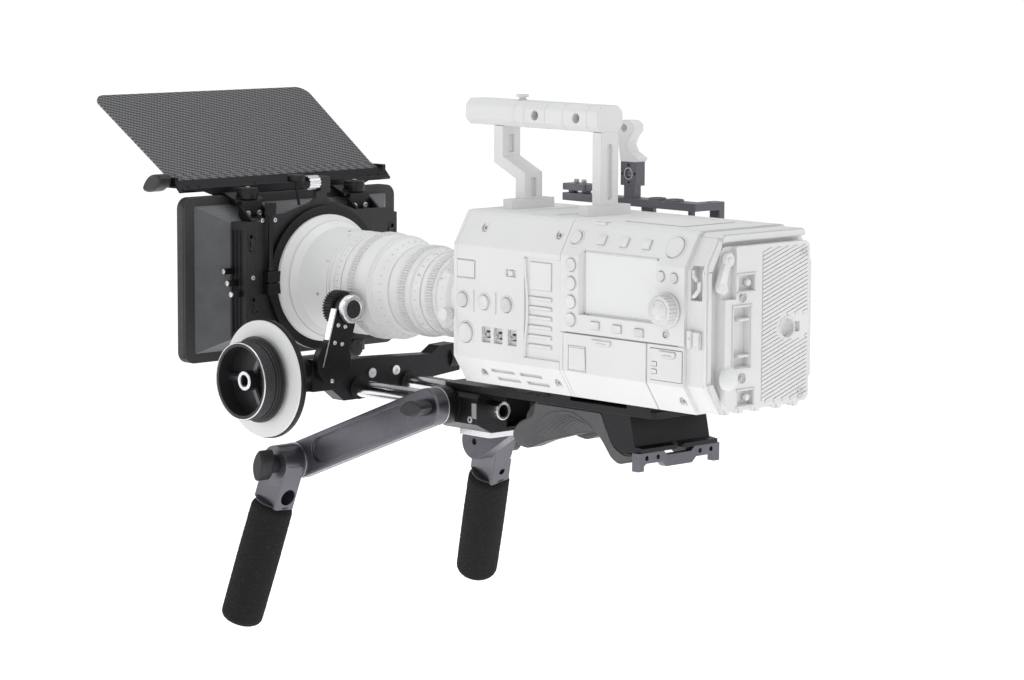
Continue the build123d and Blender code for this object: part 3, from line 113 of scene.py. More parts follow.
def studio():
    """A pale world with four soft lights."""
    scene = bpy.context.scene
    scene.view_settings.view_transform = "Standard"
    scene.view_settings.look = "None"
    world = bpy.data.worlds.new("studio")
    scene.world = world
    world.use_nodes = True
    nt = world.node_tree
    nt.nodes.clear()
    out = nt.nodes.new("ShaderNodeOutputWorld")
    bg = nt.nodes.new("ShaderNodeBackground")
    ramp = nt.nodes.new("ShaderNodeValToRGB")
    coords = nt.nodes.new("ShaderNodeTexCoord")
    split = nt.nodes.new("ShaderNodeSeparateXYZ")
    remap = nt.nodes.new("ShaderNodeMapRange")
    remap.inputs["From Min"].default_value = -1.0
    nt.links.new(coords.outputs["Generated"], split.inputs[0])
    nt.links.new(split.outputs["Z"], remap.inputs["Value"])
    nt.links.new(remap.outputs[0], ramp.inputs[0])
    ramp.color_ramp.elements[0].position = 0.46
    ramp.color_ramp.elements[0].color = (0.98, 0.98, 0.985, 1)
    ramp.color_ramp.elements[1].position = 0.85
    ramp.color_ramp.elements[1].color = (0.60, 0.61, 0.62, 1)
    nt.links.new(ramp.outputs[0], bg.inputs["Color"])
    bg.inputs["Strength"].default_value = 0.70
    nt.links.new(bg.outputs[0], out.inputs[0])
    area_light("key_light", (2.4, 1, 2.2), (0, 0.1, 0.05), (1.6, 1.6), 9)
    area_light("fill_light", (1.4, -2.6, 1.2), (0, 0, 0.05), (1.5, 2), 19)
    area_light("rear_light", (-1.8, 1.9, 1.9), (0, 0.1, 0.05), (1.6, 1.6), 15)
    area_light("overhead_light", (-0.3, -0.1, 2.6), (0, 0, 0), (2, 2), 22)


def floor():
    """A wide pale floor below the rig."""
    mesh = bpy.data.meshes.new("floor")
    half, level = 220.0, cad_box[0].z - FLOOR_DROP
    mesh.from_pydata([(-half, -half, level), (half, -half, level), (half, half, level),
        (-half, half, level)], [], [(0, 1, 2, 3)])
    obj = bpy.data.objects.new("floor", mesh)
    bpy.context.scene.collection.objects.link(obj)
    mat = bpy.data.materials.new("floor_pale")
    mat.use_nodes = True
    shader = mat.node_tree.nodes["Principled BSDF"]
    shader.inputs["Base Color"].default_value = (0.93, 0.93, 0.93, 1)
    shader.inputs["Roughness"].default_value = 0.9
    shader.inputs["Specular IOR Level"].default_value = 0.1
    shader.inputs["Emission Color"].default_value = (1, 1, 1, 1)
    shader.inputs["Emission Strength"].default_value = 0.62
    mesh.materials.append(mat)


look_camera()
studio()
floor()


# ---------------------------------------------------------------- materials
class Shader:
    """A node material. Its patterns use object coordinates, which are the row frame at rest."""

    def __init__(self, name, base, rough, metallic=0, **constants):
        self.mat = bpy.data.materials.new(name)
        self.mat.use_nodes = True
        self.nt = self.mat.node_tree
        self.bsdf = self.nt.nodes["Principled BSDF"]
        self.coords = self.node("ShaderNodeTexCoord").outputs["Object"]
        self.base = self.rgb(base)
        self.rough = rough
        self.normal = None
        self.bsdf.inputs["Metallic"].default_value = metallic
        for key, value in constants.items():
            self.bsdf.inputs[key.replace("_", " ")].default_value = value

    def node(self, kind, **props):
        n = self.nt.nodes.new(kind)
        for key, value in props.items():
            setattr(n, key, value)
        return n

    def link(self, a, b):
        self.nt.links.new(a, b)

    def rgb(self, color):
        n = self.node("ShaderNodeRGB")
        n.outputs[0].default_value = (*color, 1)
        return n.outputs[0]

    def math(self, op, a, b=None, clamp=False):
        n = self.node("ShaderNodeMath", operation=op, use_clamp=clamp)
        for socket, value in zip(n.inputs, (a, b)):
            if value is None:
                continue
            if isinstance(value, (int, float)):
                socket.default_value = value
            else:
                self.link(value, socket)
        return n.outputs[0]

    def noise(self, scale, detail=3, rough=0.5, vector=None, distortion=0):
        n = self.node("ShaderNodeTexNoise")
        n.inputs["Scale"].default_value = scale
        n.inputs["Detail"].default_value = detail
        n.inputs["Roughness"].default_value = rough
        n.inputs["Distortion"].default_value = distortion
        self.link(vector or self.coords, n.inputs["Vector"])
        return n.outputs["Fac"]

    def voronoi(self, scale, feature="F1", vector=None, output="Distance"):
        n = self.node("ShaderNodeTexVoronoi", feature=feature)
        n.inputs["Scale"].default_value = scale
        self.link(vector or self.coords, n.inputs["Vector"])
        return n.outputs[output]

    def ramp(self, value, low, high, a=0, b=1):
        n = self.node("ShaderNodeMapRange", clamp=True)
        for key, v in (("From Min", low), ("From Max", high), ("To Min", a), ("To Max", b)):
            n.inputs[key].default_value = v
        self.link(value, n.inputs["Value"])
        return n.outputs[0]

    def tint(self, mask, color, strength=1):
        """Mixes a colour over the base where the mask is 1."""
        n = self.node("ShaderNodeMix", data_type="RGBA")
        factor = mask if strength == 1.0 else self.math("MULTIPLY", mask, strength)
        self.link(factor, n.inputs["Factor"])
        self.link(self.base, n.inputs["A"])
        if isinstance(color, tuple):
            n.inputs["B"].default_value = (*color, 1)
        else:
            self.link(color, n.inputs["B"])
        self.base = n.outputs["Result"]
        return self

    def bevel(self, radius, samples=4):
        n = self.node("ShaderNodeBevel", samples=samples)
        n.inputs["Radius"].default_value = radius
        self.normal = n.outputs[0]
        return self

    def edge(self, color, strength, low=0.02, high=0.25):
        """Tints rounded edges, found from the bevel normal, with the colour."""
        geometry = self.node("ShaderNodeNewGeometry")
        dot = self.node("ShaderNodeVectorMath", operation="DOT_PRODUCT")
        self.link(self.normal, dot.inputs[0])
        self.link(geometry.outputs["Normal"], dot.inputs[1])
        lean = self.math("SUBTRACT", 1, dot.outputs["Value"])
        return self.tint(self.ramp(lean, low, high), color, strength)

    def bump(self, height, distance, strength=1):
        n = self.node("ShaderNodeBump")
        n.inputs["Distance"].default_value = distance
        n.inputs["Strength"].default_value = strength
        self.link(height, n.inputs["Height"])
        if self.normal is not None:
            self.link(self.normal, n.inputs["Normal"])
        self.normal = n.outputs[0]
        return self

    def roughness(self, value, low, high):
        self.rough = self.ramp(value, 0.3, 0.7, low, high)
        return self

    def split(self, vector=None):
        n = self.node("ShaderNodeSeparateXYZ")
        self.link(vector or self.coords, n.inputs[0])
        return n.outputs

    def done(self):
        self.link(self.base, self.bsdf.inputs["Base Color"])
        if isinstance(self.rough, (int, float)):
            self.bsdf.inputs["Roughness"].default_value = self.rough
        else:
            self.link(self.rough, self.bsdf.inputs["Roughness"])
        if self.normal is not None:
            self.link(self.normal, self.bsdf.inputs["Normal"])
        return self.mat


def paint(name, color, rough=0.5, grain=0.00004, shade=0.05):
    """Fine sprayed paint: faint orange peel, slightly uneven tone, softened edges."""
    s = Shader(name, color, rough, Specular_IOR_Level=0.35)
    cloud = s.noise(14, 4)
    s.tint(s.ramp(cloud, 0.35, 0.7), tuple(c * (1 - shade) for c in color))
    s.bevel(0.0007)
    s.edge(tuple(c * 0.86 for c in color), 0.5)
    s.bump(s.noise(2600, 2), grain)
    s.roughness(s.noise(180, 3), rough - 0.06, rough + 0.08)
    return s.done()


def moulded(name, color, rough=0.55, grain=0.00008, scale=1500, edge=1.6):
    """Fine textured moulded plastic."""
    s = Shader(name, color, rough, Specular_IOR_Level=0.4)
    s.tint(s.ramp(s.noise(30, 4), 0.35, 0.7), tuple(c * 0.8 for c in color))
    s.bevel(0.0006)
    # Edge colour: the lighter rims on dark plastics are a painted highlight; the white keys (edge below 1)
    # get slightly darker rims.
    s.edge(tuple(min(1, c * edge + 0.01) for c in color), 0.7)
    s.bump(s.voronoi(scale), grain)
    s.roughness(s.noise(260, 3), rough - 0.08, rough + 0.08)
    return s.done()


def anodised(name, color, rough=0.34, grain=0.00002):
    """Bead-blasted, dyed aluminium, with painted highlights on its rounded edges."""
    s = Shader(name, color, rough, metallic=0.85)
    s.tint(s.ramp(s.noise(22, 4), 0.35, 0.7), tuple(c * 0.82 for c in color))
    s.bevel(0.0006)
    # Lighter colour on the rounded edges, found from the bevel normal: a painted highlight.
    s.edge(tuple(min(1, c * 2.4 + 0.02) for c in color), 0.65)
    s.bump(s.noise(3200, 2), grain)
    s.roughness(s.noise(300, 3), rough - 0.06, rough + 0.07)
    return s.done()


def metal(name, color, rough, grain=0.00001, scratch_axis=None):
    """Machined metal with fine tool marks along one axis."""
    s = Shader(name, color, rough, metallic=1)
    vector = s.coords
    if scratch_axis is not None:
        scale = [1, 1, 1]
        scale[scratch_axis] = 0.02
        n = s.node("ShaderNodeMapping")
        n.inputs["Scale"].default_value = scale
        s.link(s.coords, n.inputs["Vector"])
        vector = n.outputs[0]
    lines = s.noise(2400, 2, vector=vector)
    s.tint(s.ramp(lines, 0.3, 0.7), tuple(c * 0.82 for c in color), 0.6)
    s.bevel(0.0004)
    s.bump(lines, grain)
    s.roughness(lines, rough - 0.05, rough + 0.1)
    return s.done()


WHITE = (0.785, 0.785, 0.78)
MAT = {"body": paint("white_body_paint", WHITE, 0.5), "lens": paint("white_lens_paint", (0.85, 0.85, 0.845),
    0.42), "key": moulded("white_keys", (0.80, 0.80, 0.795), 0.5, 0.00003, edge=0.9),
    "screen": paint("white_screen", (0.80, 0.80, 0.80), 0.2, 0.000005, 0.02),
    "board": moulded("green_board", (0.05, 0.16, 0.09), 0.4), "steel": metal("satin_steel",
    (0.62, 0.62, 0.63), 0.28), "black": moulded("matte_black", (0.022, 0.022, 0.024), 0.5),
    "frame_rubber": moulded("frame_rubber", (0.045, 0.045, 0.047), 0.7), "tray": anodised("tray_black",
    (0.04, 0.04, 0.042)), "dark": anodised("violet_grey_anodised", (0.15, 0.145, 0.165)),
    "black_metal": anodised("black_anodised", (0.030, 0.030, 0.032), 0.38),
    "silver": metal("bright_aluminium", (0.78, 0.78, 0.79), 0.26), "rod": metal("rod_steel",
    (0.70, 0.70, 0.71), 0.16, 0.000004, 1), "disk": paint("disk_white", (0.82, 0.82, 0.82), 0.38, 0.00001,
    0.02), "knob": moulded("knob_black", (0.020, 0.020, 0.022), 0.42), "belt": moulded("belt_rubber",
    (0.02, 0.02, 0.02), 0.7),}


def lens_glass():
    """Coated optical glass."""
    s = Shader("coated_glass", (0.92, 0.95, 0.97), 0.02, Transmission_Weight=1, IOR=1.52)
    s.tint(s.ramp(s.noise(8, 2), 0.3, 0.7), (0.80, 0.86, 0.95))
    s.bsdf.inputs["Coat Weight"].default_value = 1.0
    s.bsdf.inputs["Coat Tint"].default_value = (0.55, 0.75, 1, 1)
    return s.done()


def carbon_twill():
    """Two-by-two carbon weave in the plane of the flag, under a satin lacquer."""
    s = Shader("carbon_twill", (0.012, 0.012, 0.013), 0.34)
    axes = s.split()
    slope = s.math("ADD", s.math("MULTIPLY", axes[1], -0.84), s.math("MULTIPLY", axes[2], 0.543))
    cell = 0.0025
    column = s.math("MULTIPLY", s.math("FLOOR", s.math("DIVIDE", axes[0], cell)), cell * 0.487)
    phase = s.math("FRACT", s.math("DIVIDE", s.math("SUBTRACT", slope, column), 2 * cell))
    over = s.ramp(s.math("ABSOLUTE", s.math("SUBTRACT", phase, 0.5)), 0.33, 0.22)
    s.tint(over, (0.19, 0.19, 0.195))
    s.tint(s.ramp(s.noise(900, 2), 0.35, 0.7), (0.03, 0.03, 0.033), 0.45)
    thread = s.math("ABSOLUTE", s.math("SINE", s.math("MULTIPLY", slope, 8 * math.pi / cell)))
    s.bump(s.math("ADD", s.math("MULTIPLY", over, 0.6), s.math("MULTIPLY", thread, 0.4)), 0.00009)
    s.roughness(s.noise(500, 3), 0.3, 0.44)
    return s.done()


def foam_rubber():
    """Open-cell grip foam: fine pores of two sizes, with painted shade darkening the pits, and a dry, dull
    surface.
    """
    s = Shader("grip_foam", (0.015, 0.015, 0.0145), 0.92, Specular_IOR_Level=0.25)
    pores = s.voronoi(1150)
    coarse = s.noise(520, 5, 0.7)
    # Darker pore centres: painted shade inside the pits.
    s.tint(s.ramp(pores, 0.32, 0.08), (0.006, 0.006, 0.006))
    s.tint(s.ramp(coarse, 0.55, 0.75), (0.050, 0.049, 0.044), 0.8)
    s.bump(s.math("ADD", pores, coarse), 0.00085)
    s.roughness(coarse, 0.84, 0.97)
    return s.done()


def pad_rubber():
    """Moulded shoulder rubber with a leathery fine grain."""
    s = Shader("pad_rubber", (0.105, 0.105, 0.108), 0.6, Specular_IOR_Level=0.35)
    s.tint(s.ramp(s.noise(26, 4), 0.35, 0.7), (0.082, 0.082, 0.085))
    s.bevel(0.0012)
    # Lighter rims along the rounded edges: a painted highlight.
    s.edge((0.17, 0.17, 0.175), 0.6)
    s.bump(s.voronoi(1300), 0.00012)
    s.roughness(s.noise(240, 3), 0.5, 0.7)
    return s.done()


def grained_cloth(name, color, weave):
    """Fine plain-woven lining."""
    s = Shader(name, color, 0.8, Sheen_Weight=0.3)
    axes = s.split()
    threads = [s.math("SINE", s.math("MULTIPLY", axis, 2 * math.pi / weave)) for axis in (axes[1], axes[2])]
    cross = s.math("MULTIPLY", threads[0], threads[1])
    s.tint(s.ramp(cross, -0.4, 0.8), tuple(c * 1.8 for c in color), 0.7)
    s.tint(s.ramp(s.noise(35, 4), 0.35, 0.7), tuple(c * 0.7 for c in color), 0.6)
    s.bump(cross, 0.0001)
    s.roughness(s.noise(300), 0.7, 0.88)
    return s.done()


MAT["glass"] = lens_glass()
MAT["carbon"] = carbon_twill()
MAT["foam"] = foam_rubber()
MAT["pad"] = pad_rubber()
MAT["hood"] = grained_cloth("hood_cloth", (0.098, 0.100, 0.107), 0.0011)
MAT["brass"] = metal("brass_hex", (0.62, 0.50, 0.30), 0.3)
# Near black: the real black lens baffles, and painted shade inside the rod bores.
MAT["void"] = moulded("black_baffle_and_bore_shade", (0.008, 0.008, 0.009), 0.8)
# Mid grey: painted shade in the side seam and in the handle insert holes, and the colour of the grey base
# insert.
MAT["grey_shade_and_insert"] = paint("grey_shade_and_insert_paint", (0.30, 0.30, 0.30), 0.5, 0.00001, 0.1)
MAT["lens_mark"] = paint("lens_engraving", (0.56, 0.56, 0.56), 0.5, 0.00001, 0.1)
MAT["white_mark"] = paint("white_marks", (0.74, 0.74, 0.74), 0.5, 0.00001, 0.1)
MAT["screw"] = metal("zinc_screws", (0.52, 0.52, 0.53), 0.34)
MAT["grip_dots"] = moulded("knurl_grey", (0.075, 0.075, 0.078), 0.45)

SLOT_MATERIAL = {"body_white": "body", "lens_white": "lens", "key_white": "key", "screen_white": "screen",
    "lens_glass": "glass", "board": "board", "mount_steel": "steel", "matte_black": "black",
    "frame_rubber": "frame_rubber", "hood_grey": "hood", "carbon": "carbon", "tray_black": "tray",
    "dark_anodised": "dark", "black_anodised": "black_metal", "bright_aluminium": "silver",
    "rod_steel": "rod", "disk_white": "disk", "knob_black": "knob", "belt_rubber": "belt", "foam": "foam",
    "pad_rubber": "pad",}
for part in frame["record"]["subparts"]:
    target = NODES[part["node"]]
    target.data.materials.clear()
    target.data.materials.append(MAT[SLOT_MATERIAL[part["material_slot"]]])


# ---------------------------------------------------------------- building pieces
PLANES = {"x": (Vector((0, 1, 0)), Vector((0, 0, 1))), "y": (Vector((1, 0, 0)), Vector((0, 0, 1))),
    "z": (Vector((1, 0, 0)), Vector((0, 1, 0)))}
NORMALS = {"x": Vector((1, 0, 0)), "y": Vector((0, 1, 0)), "z": Vector((0, 0, 1))}


class Piece:
    """Gathers the mesh of one piece, in layout millimetres."""

    def __init__(self):
        self.bm = bmesh.new()

    def take(self, part, bevel=0, place=None):
        """Adds a closed part, with its sharp edges rounded, moved by a matrix."""
        bmesh.ops.recalc_face_normals(part, faces=part.faces)
        if bevel:
            sharp = [e for e in part.edges if len(e.link_faces) == 2 and e.calc_face_angle(0) > 0.5]
            bmesh.ops.bevel(part, geom=sharp, offset=bevel, segments=2, affect="EDGES", clamp_overlap=True)
        if place is not None:
            part.transform(place)
        mesh = bpy.data.meshes.new("scrap")
        part.to_mesh(mesh)
        part.free()
        self.bm.from_mesh(mesh)
        bpy.data.meshes.remove(mesh)
        return self

    def prism(self, outline, axis, a, b, bevel=0.3, place=None):
        """Extrudes an outline in the plane across an axis from a to b."""
        u, v = PLANES[axis]
        part = bmesh.new()
        rings = [[part.verts.new(u * p[0] + v * p[1] + NORMALS[axis] * h) for p in outline] for h in (a, b)]
        part.faces.new(rings[0])
        part.faces.new(rings[1][::-1])
        for i in range(len(outline)):
            j = (i + 1) % len(outline)
            part.faces.new((rings[0][i], rings[0][j], rings[1][j], rings[1][i]))
        return self.take(part, bevel, place)

    def block(self, x, y, z, bevel=0.3, place=None):
        outline = [(x[0], y[0]), (x[1], y[0]), (x[1], y[1]), (x[0], y[1])]
        return self.prism(outline, "z", z[0], z[1], bevel, place)

    def turned(self, profile, centre, axis, steps=48, place=None):
        """Revolves an (r, h) outline about an axis through the centre. A ring is a closed outline."""
        u, v = PLANES[axis] if isinstance(axis, str) else (axis.orthogonal().normalized(), None)
        w = NORMALS[axis] if isinstance(axis, str) else axis.normalized()
        v = w.cross(u) if v is None else v
        centre = Vector(centre)
        part = bmesh.new()
        rings = []
        for r, h in profile:
            if r < 1e-6:
                rings.append([part.verts.new(centre + w * h)])
                continue
            rings.append([part.verts.new(centre + w * h + u * (r * math.cos(2 * math.pi * k / steps))
                + v * (r * math.sin(2 * math.pi * k / steps))) for k in range(steps)])
        pairs = list(zip(rings, rings[1:]))
        if profile[0][0] > 1e-6 and profile[-1][0] > 1e-6:
            pairs.append((rings[-1], rings[0]))
        for a, b in pairs:
            for k in range(steps):
                n = (k + 1) % steps
                quad = [a[k % len(a)], a[n % len(a)], b[n % len(b)], b[k % len(b)]]
                unique = list(dict.fromkeys(quad))
                if len(unique) > 2:
                    part.faces.new(unique)
        return self.take(part, 0, place)

    def ring(self, r0, r1, h0, h1, centre, axis, steps=48, edge=0.25):
        """A flat ring with softened rims."""
        profile = [(r0, h0), (r1 - edge, h0), (r1, h0 + edge), (r1, h1 - edge), (r1 - edge, h1), (r0, h1)]
        if r0 < 1e-6:
            profile = [(0, h0)] + profile[1:-1] + [(0, h1)]
        return self.turned(profile, centre, axis, steps)

    def tube(self, path, radius, steps=12):
        """A round bar along a path of points."""
        part = bmesh.new()
        points = [Vector(p) for p in path]
        rings = []
        side = None
        for i, point in enumerate(points):
            along = (points[min(i + 1, len(points) - 1)] - points[max(i - 1, 0)]).normalized()
            side = along.orthogonal().normalized() if side is None else (side - along * side.dot(
                along)).normalized()
            other = along.cross(side)
            rings.append([part.verts.new(point + (side * math.cos(a) + other * math.sin(a)) * radius)
                for a in (2 * math.pi * k / steps for k in range(steps))])
        for a, b in zip(rings, rings[1:]):
            for k in range(steps):
                part.faces.new((a[k], a[(k + 1) % steps], b[(k + 1) % steps], b[k]))
        part.faces.new(rings[0][::-1])
        part.faces.new(rings[-1])
        return self.take(part)

    def done(self, name, material, body="rig", slot=None, angle=35):
        bmesh.ops.recalc_face_normals(self.bm, faces=self.bm.faces)
        for vert in self.bm.verts:
            vert.co = row(*vert.co)
        mesh = bpy.data.meshes.new(name)
        self.bm.to_mesh(mesh)
        self.bm.free()
        for face in mesh.polygons:
            face.use_smooth = True
        mesh.set_sharp_from_angle(angle=math.radians(angle))
        mesh.materials.append(MAT[material])
        obj = bpy.data.objects.new(name, mesh)
        bpy.context.scene.collection.objects.link(obj)
        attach(obj, body)
        return obj


def spoke(angle, axis):
    """A unit vector at an angle round the x or the y axis."""
    across, up = math.cos(angle), math.sin(angle)
    return Vector((0, across, up) if axis == "x" else (across, 0, up))


def about_lens(angle):
    """A turn about the lens axis."""
    return Matrix.Rotation(angle, 4, "Y")


def socket_screw(piece, centre, axis, r=3, rise=0.6, hole=None):
    """A cap screw with a chamfered rim and a hexagon hole, facing along the axis."""
    hole = hole or r * 0.45
    profile = [(0, -0.4), (hole, -0.4), (hole, rise), (r - 0.5, rise), (r, rise - 0.4), (r, -1), (0, -1)]
    return piece.turned(profile, centre, axis, 24)


# ---------------------------------------------------------------- camera body
SIDE = 65.3
SIDE_LEAN = Vector((1, 0, 0.594)).normalized()
SCREEN_FACE = SIDE - 3.3
BATTERY_FACE = 533.0
TAB_ANGLES = (-34, 16, 146, 196)
ROD_X = 30.0
TOGGLE_Y = (279.4, 293.8, 310.6)
HEAD_KEYS = ((251, 6.9, 6), (277, 6.6, 6), (304, 6.6, 6), (255, -20.4, 8.2))
SCREEN_KEYS = ((379, 45.8, 5.2), (379, 30.9, 5.2), (379, 15.9, 5.2), (379, 1.4, 5.2), (479.4, 44.7, 3.8),
    (493.5, 44.3, 3.8))
CASING_SCREWS = ((269, 68), (357, 68), (269.3, -53.8), (357, -53.8), (497, -53.8))


def upper_chamfer(y, z, rise=0):
    """A point on the upper left chamfer."""
    return Vector((SIDE - (z - 52.9) * 0.594, y, z)) + SIDE_LEAN * rise


def side_x(z):
    """Half width of the body where it tapers at the bottom."""
    return SIDE - (-40.9 - z) * 0.6507


def body_details():
    """Collars, caps and screws on the casing."""
    collars = Piece()
    for y, z, r in HEAD_KEYS:
        collars.turned([(r + 0.35, -0.4), (r + 2.2, -0.4), (r + 1.9, 0.45), (r + 1.2, 0.75),
            (r + 0.5, 0.5)], (SIDE, y, z), "x", 48)
    for y, z, r in SCREEN_KEYS:
        collars.turned([(r + 0.35, -0.4), (r + 1.3, -0.4), (r + 1.1, 0.3), (r + 0.5, 0.35)], (SIDE, y, z),
            "x", 48)
    for y, r in ((377, 5.6), (487, 8.8)):
        collars.turned([(r + 0.35, -0.5), (r + 2.6, -0.5), (r + 2.2, 0.4), (r + 1.3, 0.7), (r + 0.5, 0.45)],
            upper_chamfer(y, 67), SIDE_LEAN, 48)
    collars.done("key_collars", "body")
    crowns = Piece()
    for y, z, r in HEAD_KEYS:
        crowns.turned([(0, 1.2), (r - 0.6, 1.2), (r - 0.5, 1.75), (r - 1.4, 2), (r - 2, 1.85), (0, 2)],
            (SIDE, y, z), "x", 40)
    crowns.done("head_key_crowns", "key", "front_keys")
    recess = Piece()
    for y in TOGGLE_Y:
        for z in ((-26.3, -23.1), (-16.9, -13.7)):
            recess.block((61, 62.2), (y - 5.1, y + 5.1), z, 0)
        for left, right in ((y - 5.1, y - 2.9), (y + 2.9, y + 5.1)):
            recess.block((61, 62.2), (left, right), (-23.1, -16.9), 0)
    recess.done("toggle_recesses", "body")
    caps = Piece()
    for y in TOGGLE_Y:
        caps.turned([(0, 60), (1.6, 60), (1.9, 66.5), (1.6, 68), (0.8, 68.5), (0, 68.6)], (0, y, -20), "x",
            20)
        caps.ring(0, 2.6, 59, 60.2, (0, y, -20), "x", 24)
    caps.done("toggle_levers", "screw", "toggles", "key_white")
    screws = Piece()
    for y, z in CASING_SCREWS:
        for side in (-1, 1):
            low = z < 0
            face = side_x(z) if low else SIDE - (z - 52.9) * 0.594
            lean = Vector((1, 0, -0.6507 if low else 0.594)).normalized()
            axis = Vector((side * lean.x, 0, lean.z))
            centre = Vector((side * face, y, z)) - axis * 1.0
            screws.turned([(0, -1), (1.5, -1), (1.5, 0.1), (3, 0.15), (3.5, -0.2), (3.5, -1.4), (0, -1.4)],
                centre, axis, 24)
    screws.done("casing_screws", "screw", "rig", "bright_aluminium")
    panel = Piece()
    panel.block((SIDE - 0.2, SIDE + 0.35), (244.7, 265.4), (25.8, 40.2), 0.25)
    panel.done("port_cover", "body")
    wheel = Piece()
    wheel.ring(2.8, 4, -0.3, 0.5, (SIDE, 484.9, -1), "x", 32)
    wheel.ring(1.3, 2, -0.9, 0.25, (SIDE, 484.9, -1), "x", 24)
    wheel.block((SIDE - 1, SIDE + 0.3), (484.2, 485.6), (-1.6, 0.6), 0.1)
    wheel.done("jack_cover", "body")


body_details()


def ribbed_panel():
    """The side panel with a curved left border, a raised rim and five proud bars."""
    panel = Piece()
    border = [(325.2 + 1.6 * math.cos(math.pi * t), -33.8 + 81 * (t + 1) / 2) for t in [k / 8 - 1
        for k in range(17)]]
    inner = [(y + 2.6, z) for y, z in border]
    for i in range(len(border) - 1):
        quad = [border[i], border[i + 1], inner[i + 1], inner[i]]
        panel.prism(quad, "x", SIDE - 1.8, SIDE - 0.1, 0)
    for k in range(6):
        z = 18.4 - 7.8 * k
        panel.block((SIDE - 2, SIDE - 0.55), (329.5, 356), (z - 5.3, z - 1.9), 0.5)
    panel.block((SIDE - 2, SIDE - 0.8), (330.5, 355.5), (21.6, 45), 0.5)
    panel.done("side_panel_bars", "body")


ribbed_panel()


def screen_surround():
    """The bezel of the side screen, and painted shade in the seam below it."""
    bezel = Piece()
    y0, y1, z0, z1 = 390.5, 474.5, 6.5, 60.0
    for a in ((y0 + 0.8, y0 + 2, z0 + 0.8, z1 - 2.6), (y1 - 2, y1 - 0.8, z0 + 0.8, z1 - 2.6)):
        bezel.block((SCREEN_FACE - 0.3, SCREEN_FACE + 0.45), a[:2], a[2:], 0.15)
    for a in ((z0 + 0.8, z0 + 2), (z1 - 3.8, z1 - 2.6)):
        bezel.block((SCREEN_FACE - 0.3, SCREEN_FACE + 0.45), (y0 + 0.8, y1 - 0.8), a, 0.15)
    bezel.block((SCREEN_FACE - 0.4, SCREEN_FACE + 0.3), (398, 466), (z0 - 0.2, z0 + 0.7), 0.1)
    bezel.done("screen_bezel", "body")
    # A grey strip sunk in the seam groove: painted shade.
    seam = Piece()
    seam.block((SIDE - 0.7, SIDE - 0.45), (372, 497.5), (-9.55, -8.65), 0)
    seam.done("side_seam_shade", "grey_shade_and_insert", "rig", "body_white")


screen_surround()


def jog_cap():
    """Scalloped, domed thumb dial with a skirt."""
    dial = Piece()
    centre = (SIDE, 487.3, 18.6)
    dial.turned([(0, 9.2), (7.6, 9.2), (8.2, 9.6), (8.6, 10.9), (8.2, 11.4), (7.2, 11.2), (5.6, 11.9),
        (3, 12.6), (0, 12.8)], centre, "x", 48)
    for k in range(10):
        a = 2 * math.pi * (k + 0.5) / 10
        u = spoke(a, "x")
        base = Vector(centre) + u * 11.0
        dial.tube([base + Vector((1, 0, 0)), base + Vector((9.2, 0, 0)) - u * 0.6], 1.5, 10)
    dial.ring(8, 13.6, 0.6, 2.4, centre, "x", 56, 0.5)
    for k in range(4):
        a = math.pi / 2 * k + math.pi / 4
        u, w = spoke(a, "x"), spoke(a + math.pi / 2, "x")
        tip = Vector(centre) + u * 7.0 + Vector((11.3, 0, 0))
        base = Vector(centre) + u * 5.2 + Vector((12, 0, 0))
        dial.tube([base + w * 1, tip, base - w * 1], 0.3, 6)
    dial.done("jog_cap", "key", "jog")
    knob = Piece()
    knob.turned([(0, 4.4), (5.2, 4.4), (5.6, 5.2), (5.2, 6.6), (3.8, 7.2), (0, 7.3)], (SIDE, 233.6, -6.9),
        "x", 32)
    knob.done("nd_knob_cap", "key", "nd_control")


jog_cap()


def mount_details():
    """Bayonet ring with a fluted rim and two thumb tabs."""
    ring = Piece()
    ring.turned([(36, 229.2), (41.2, 229.2), (42, 230), (42, 235.4), (41.2, 236.2), (36, 236.2)], (0, 0, 0),
        "y", 96)
    for k in range(48):
        a = 2 * math.pi * k / 48
        base = spoke(a, "y") * 41.8
        ring.tube([base + Vector((0, 230.4, 0)), base + Vector((0, 235, 0))], 0.55, 8)
    for a in TAB_ANGLES:
        turn = about_lens(math.radians(a))
        tab = [(39, 233), (39, 224), (45, 215), (55, 211), (58.5, 212.5), (58.5, 216.5), (52, 219.5),
            (46, 226), (45, 233)]
        ring.prism(tab, "z", -6.5, 6.5, 1.6, turn)
        ring.turned([(0, -0.4), (2.4, -0.4), (2.4, 0.4), (1.6, 0.9), (0, 0.9)], (51, 220.3, 0),
            Vector((0.42, 0.9, 0)), 20, turn)
    ring.done("mount_ring_grip", "lens", "lock_ring", "lens_white")


mount_details()


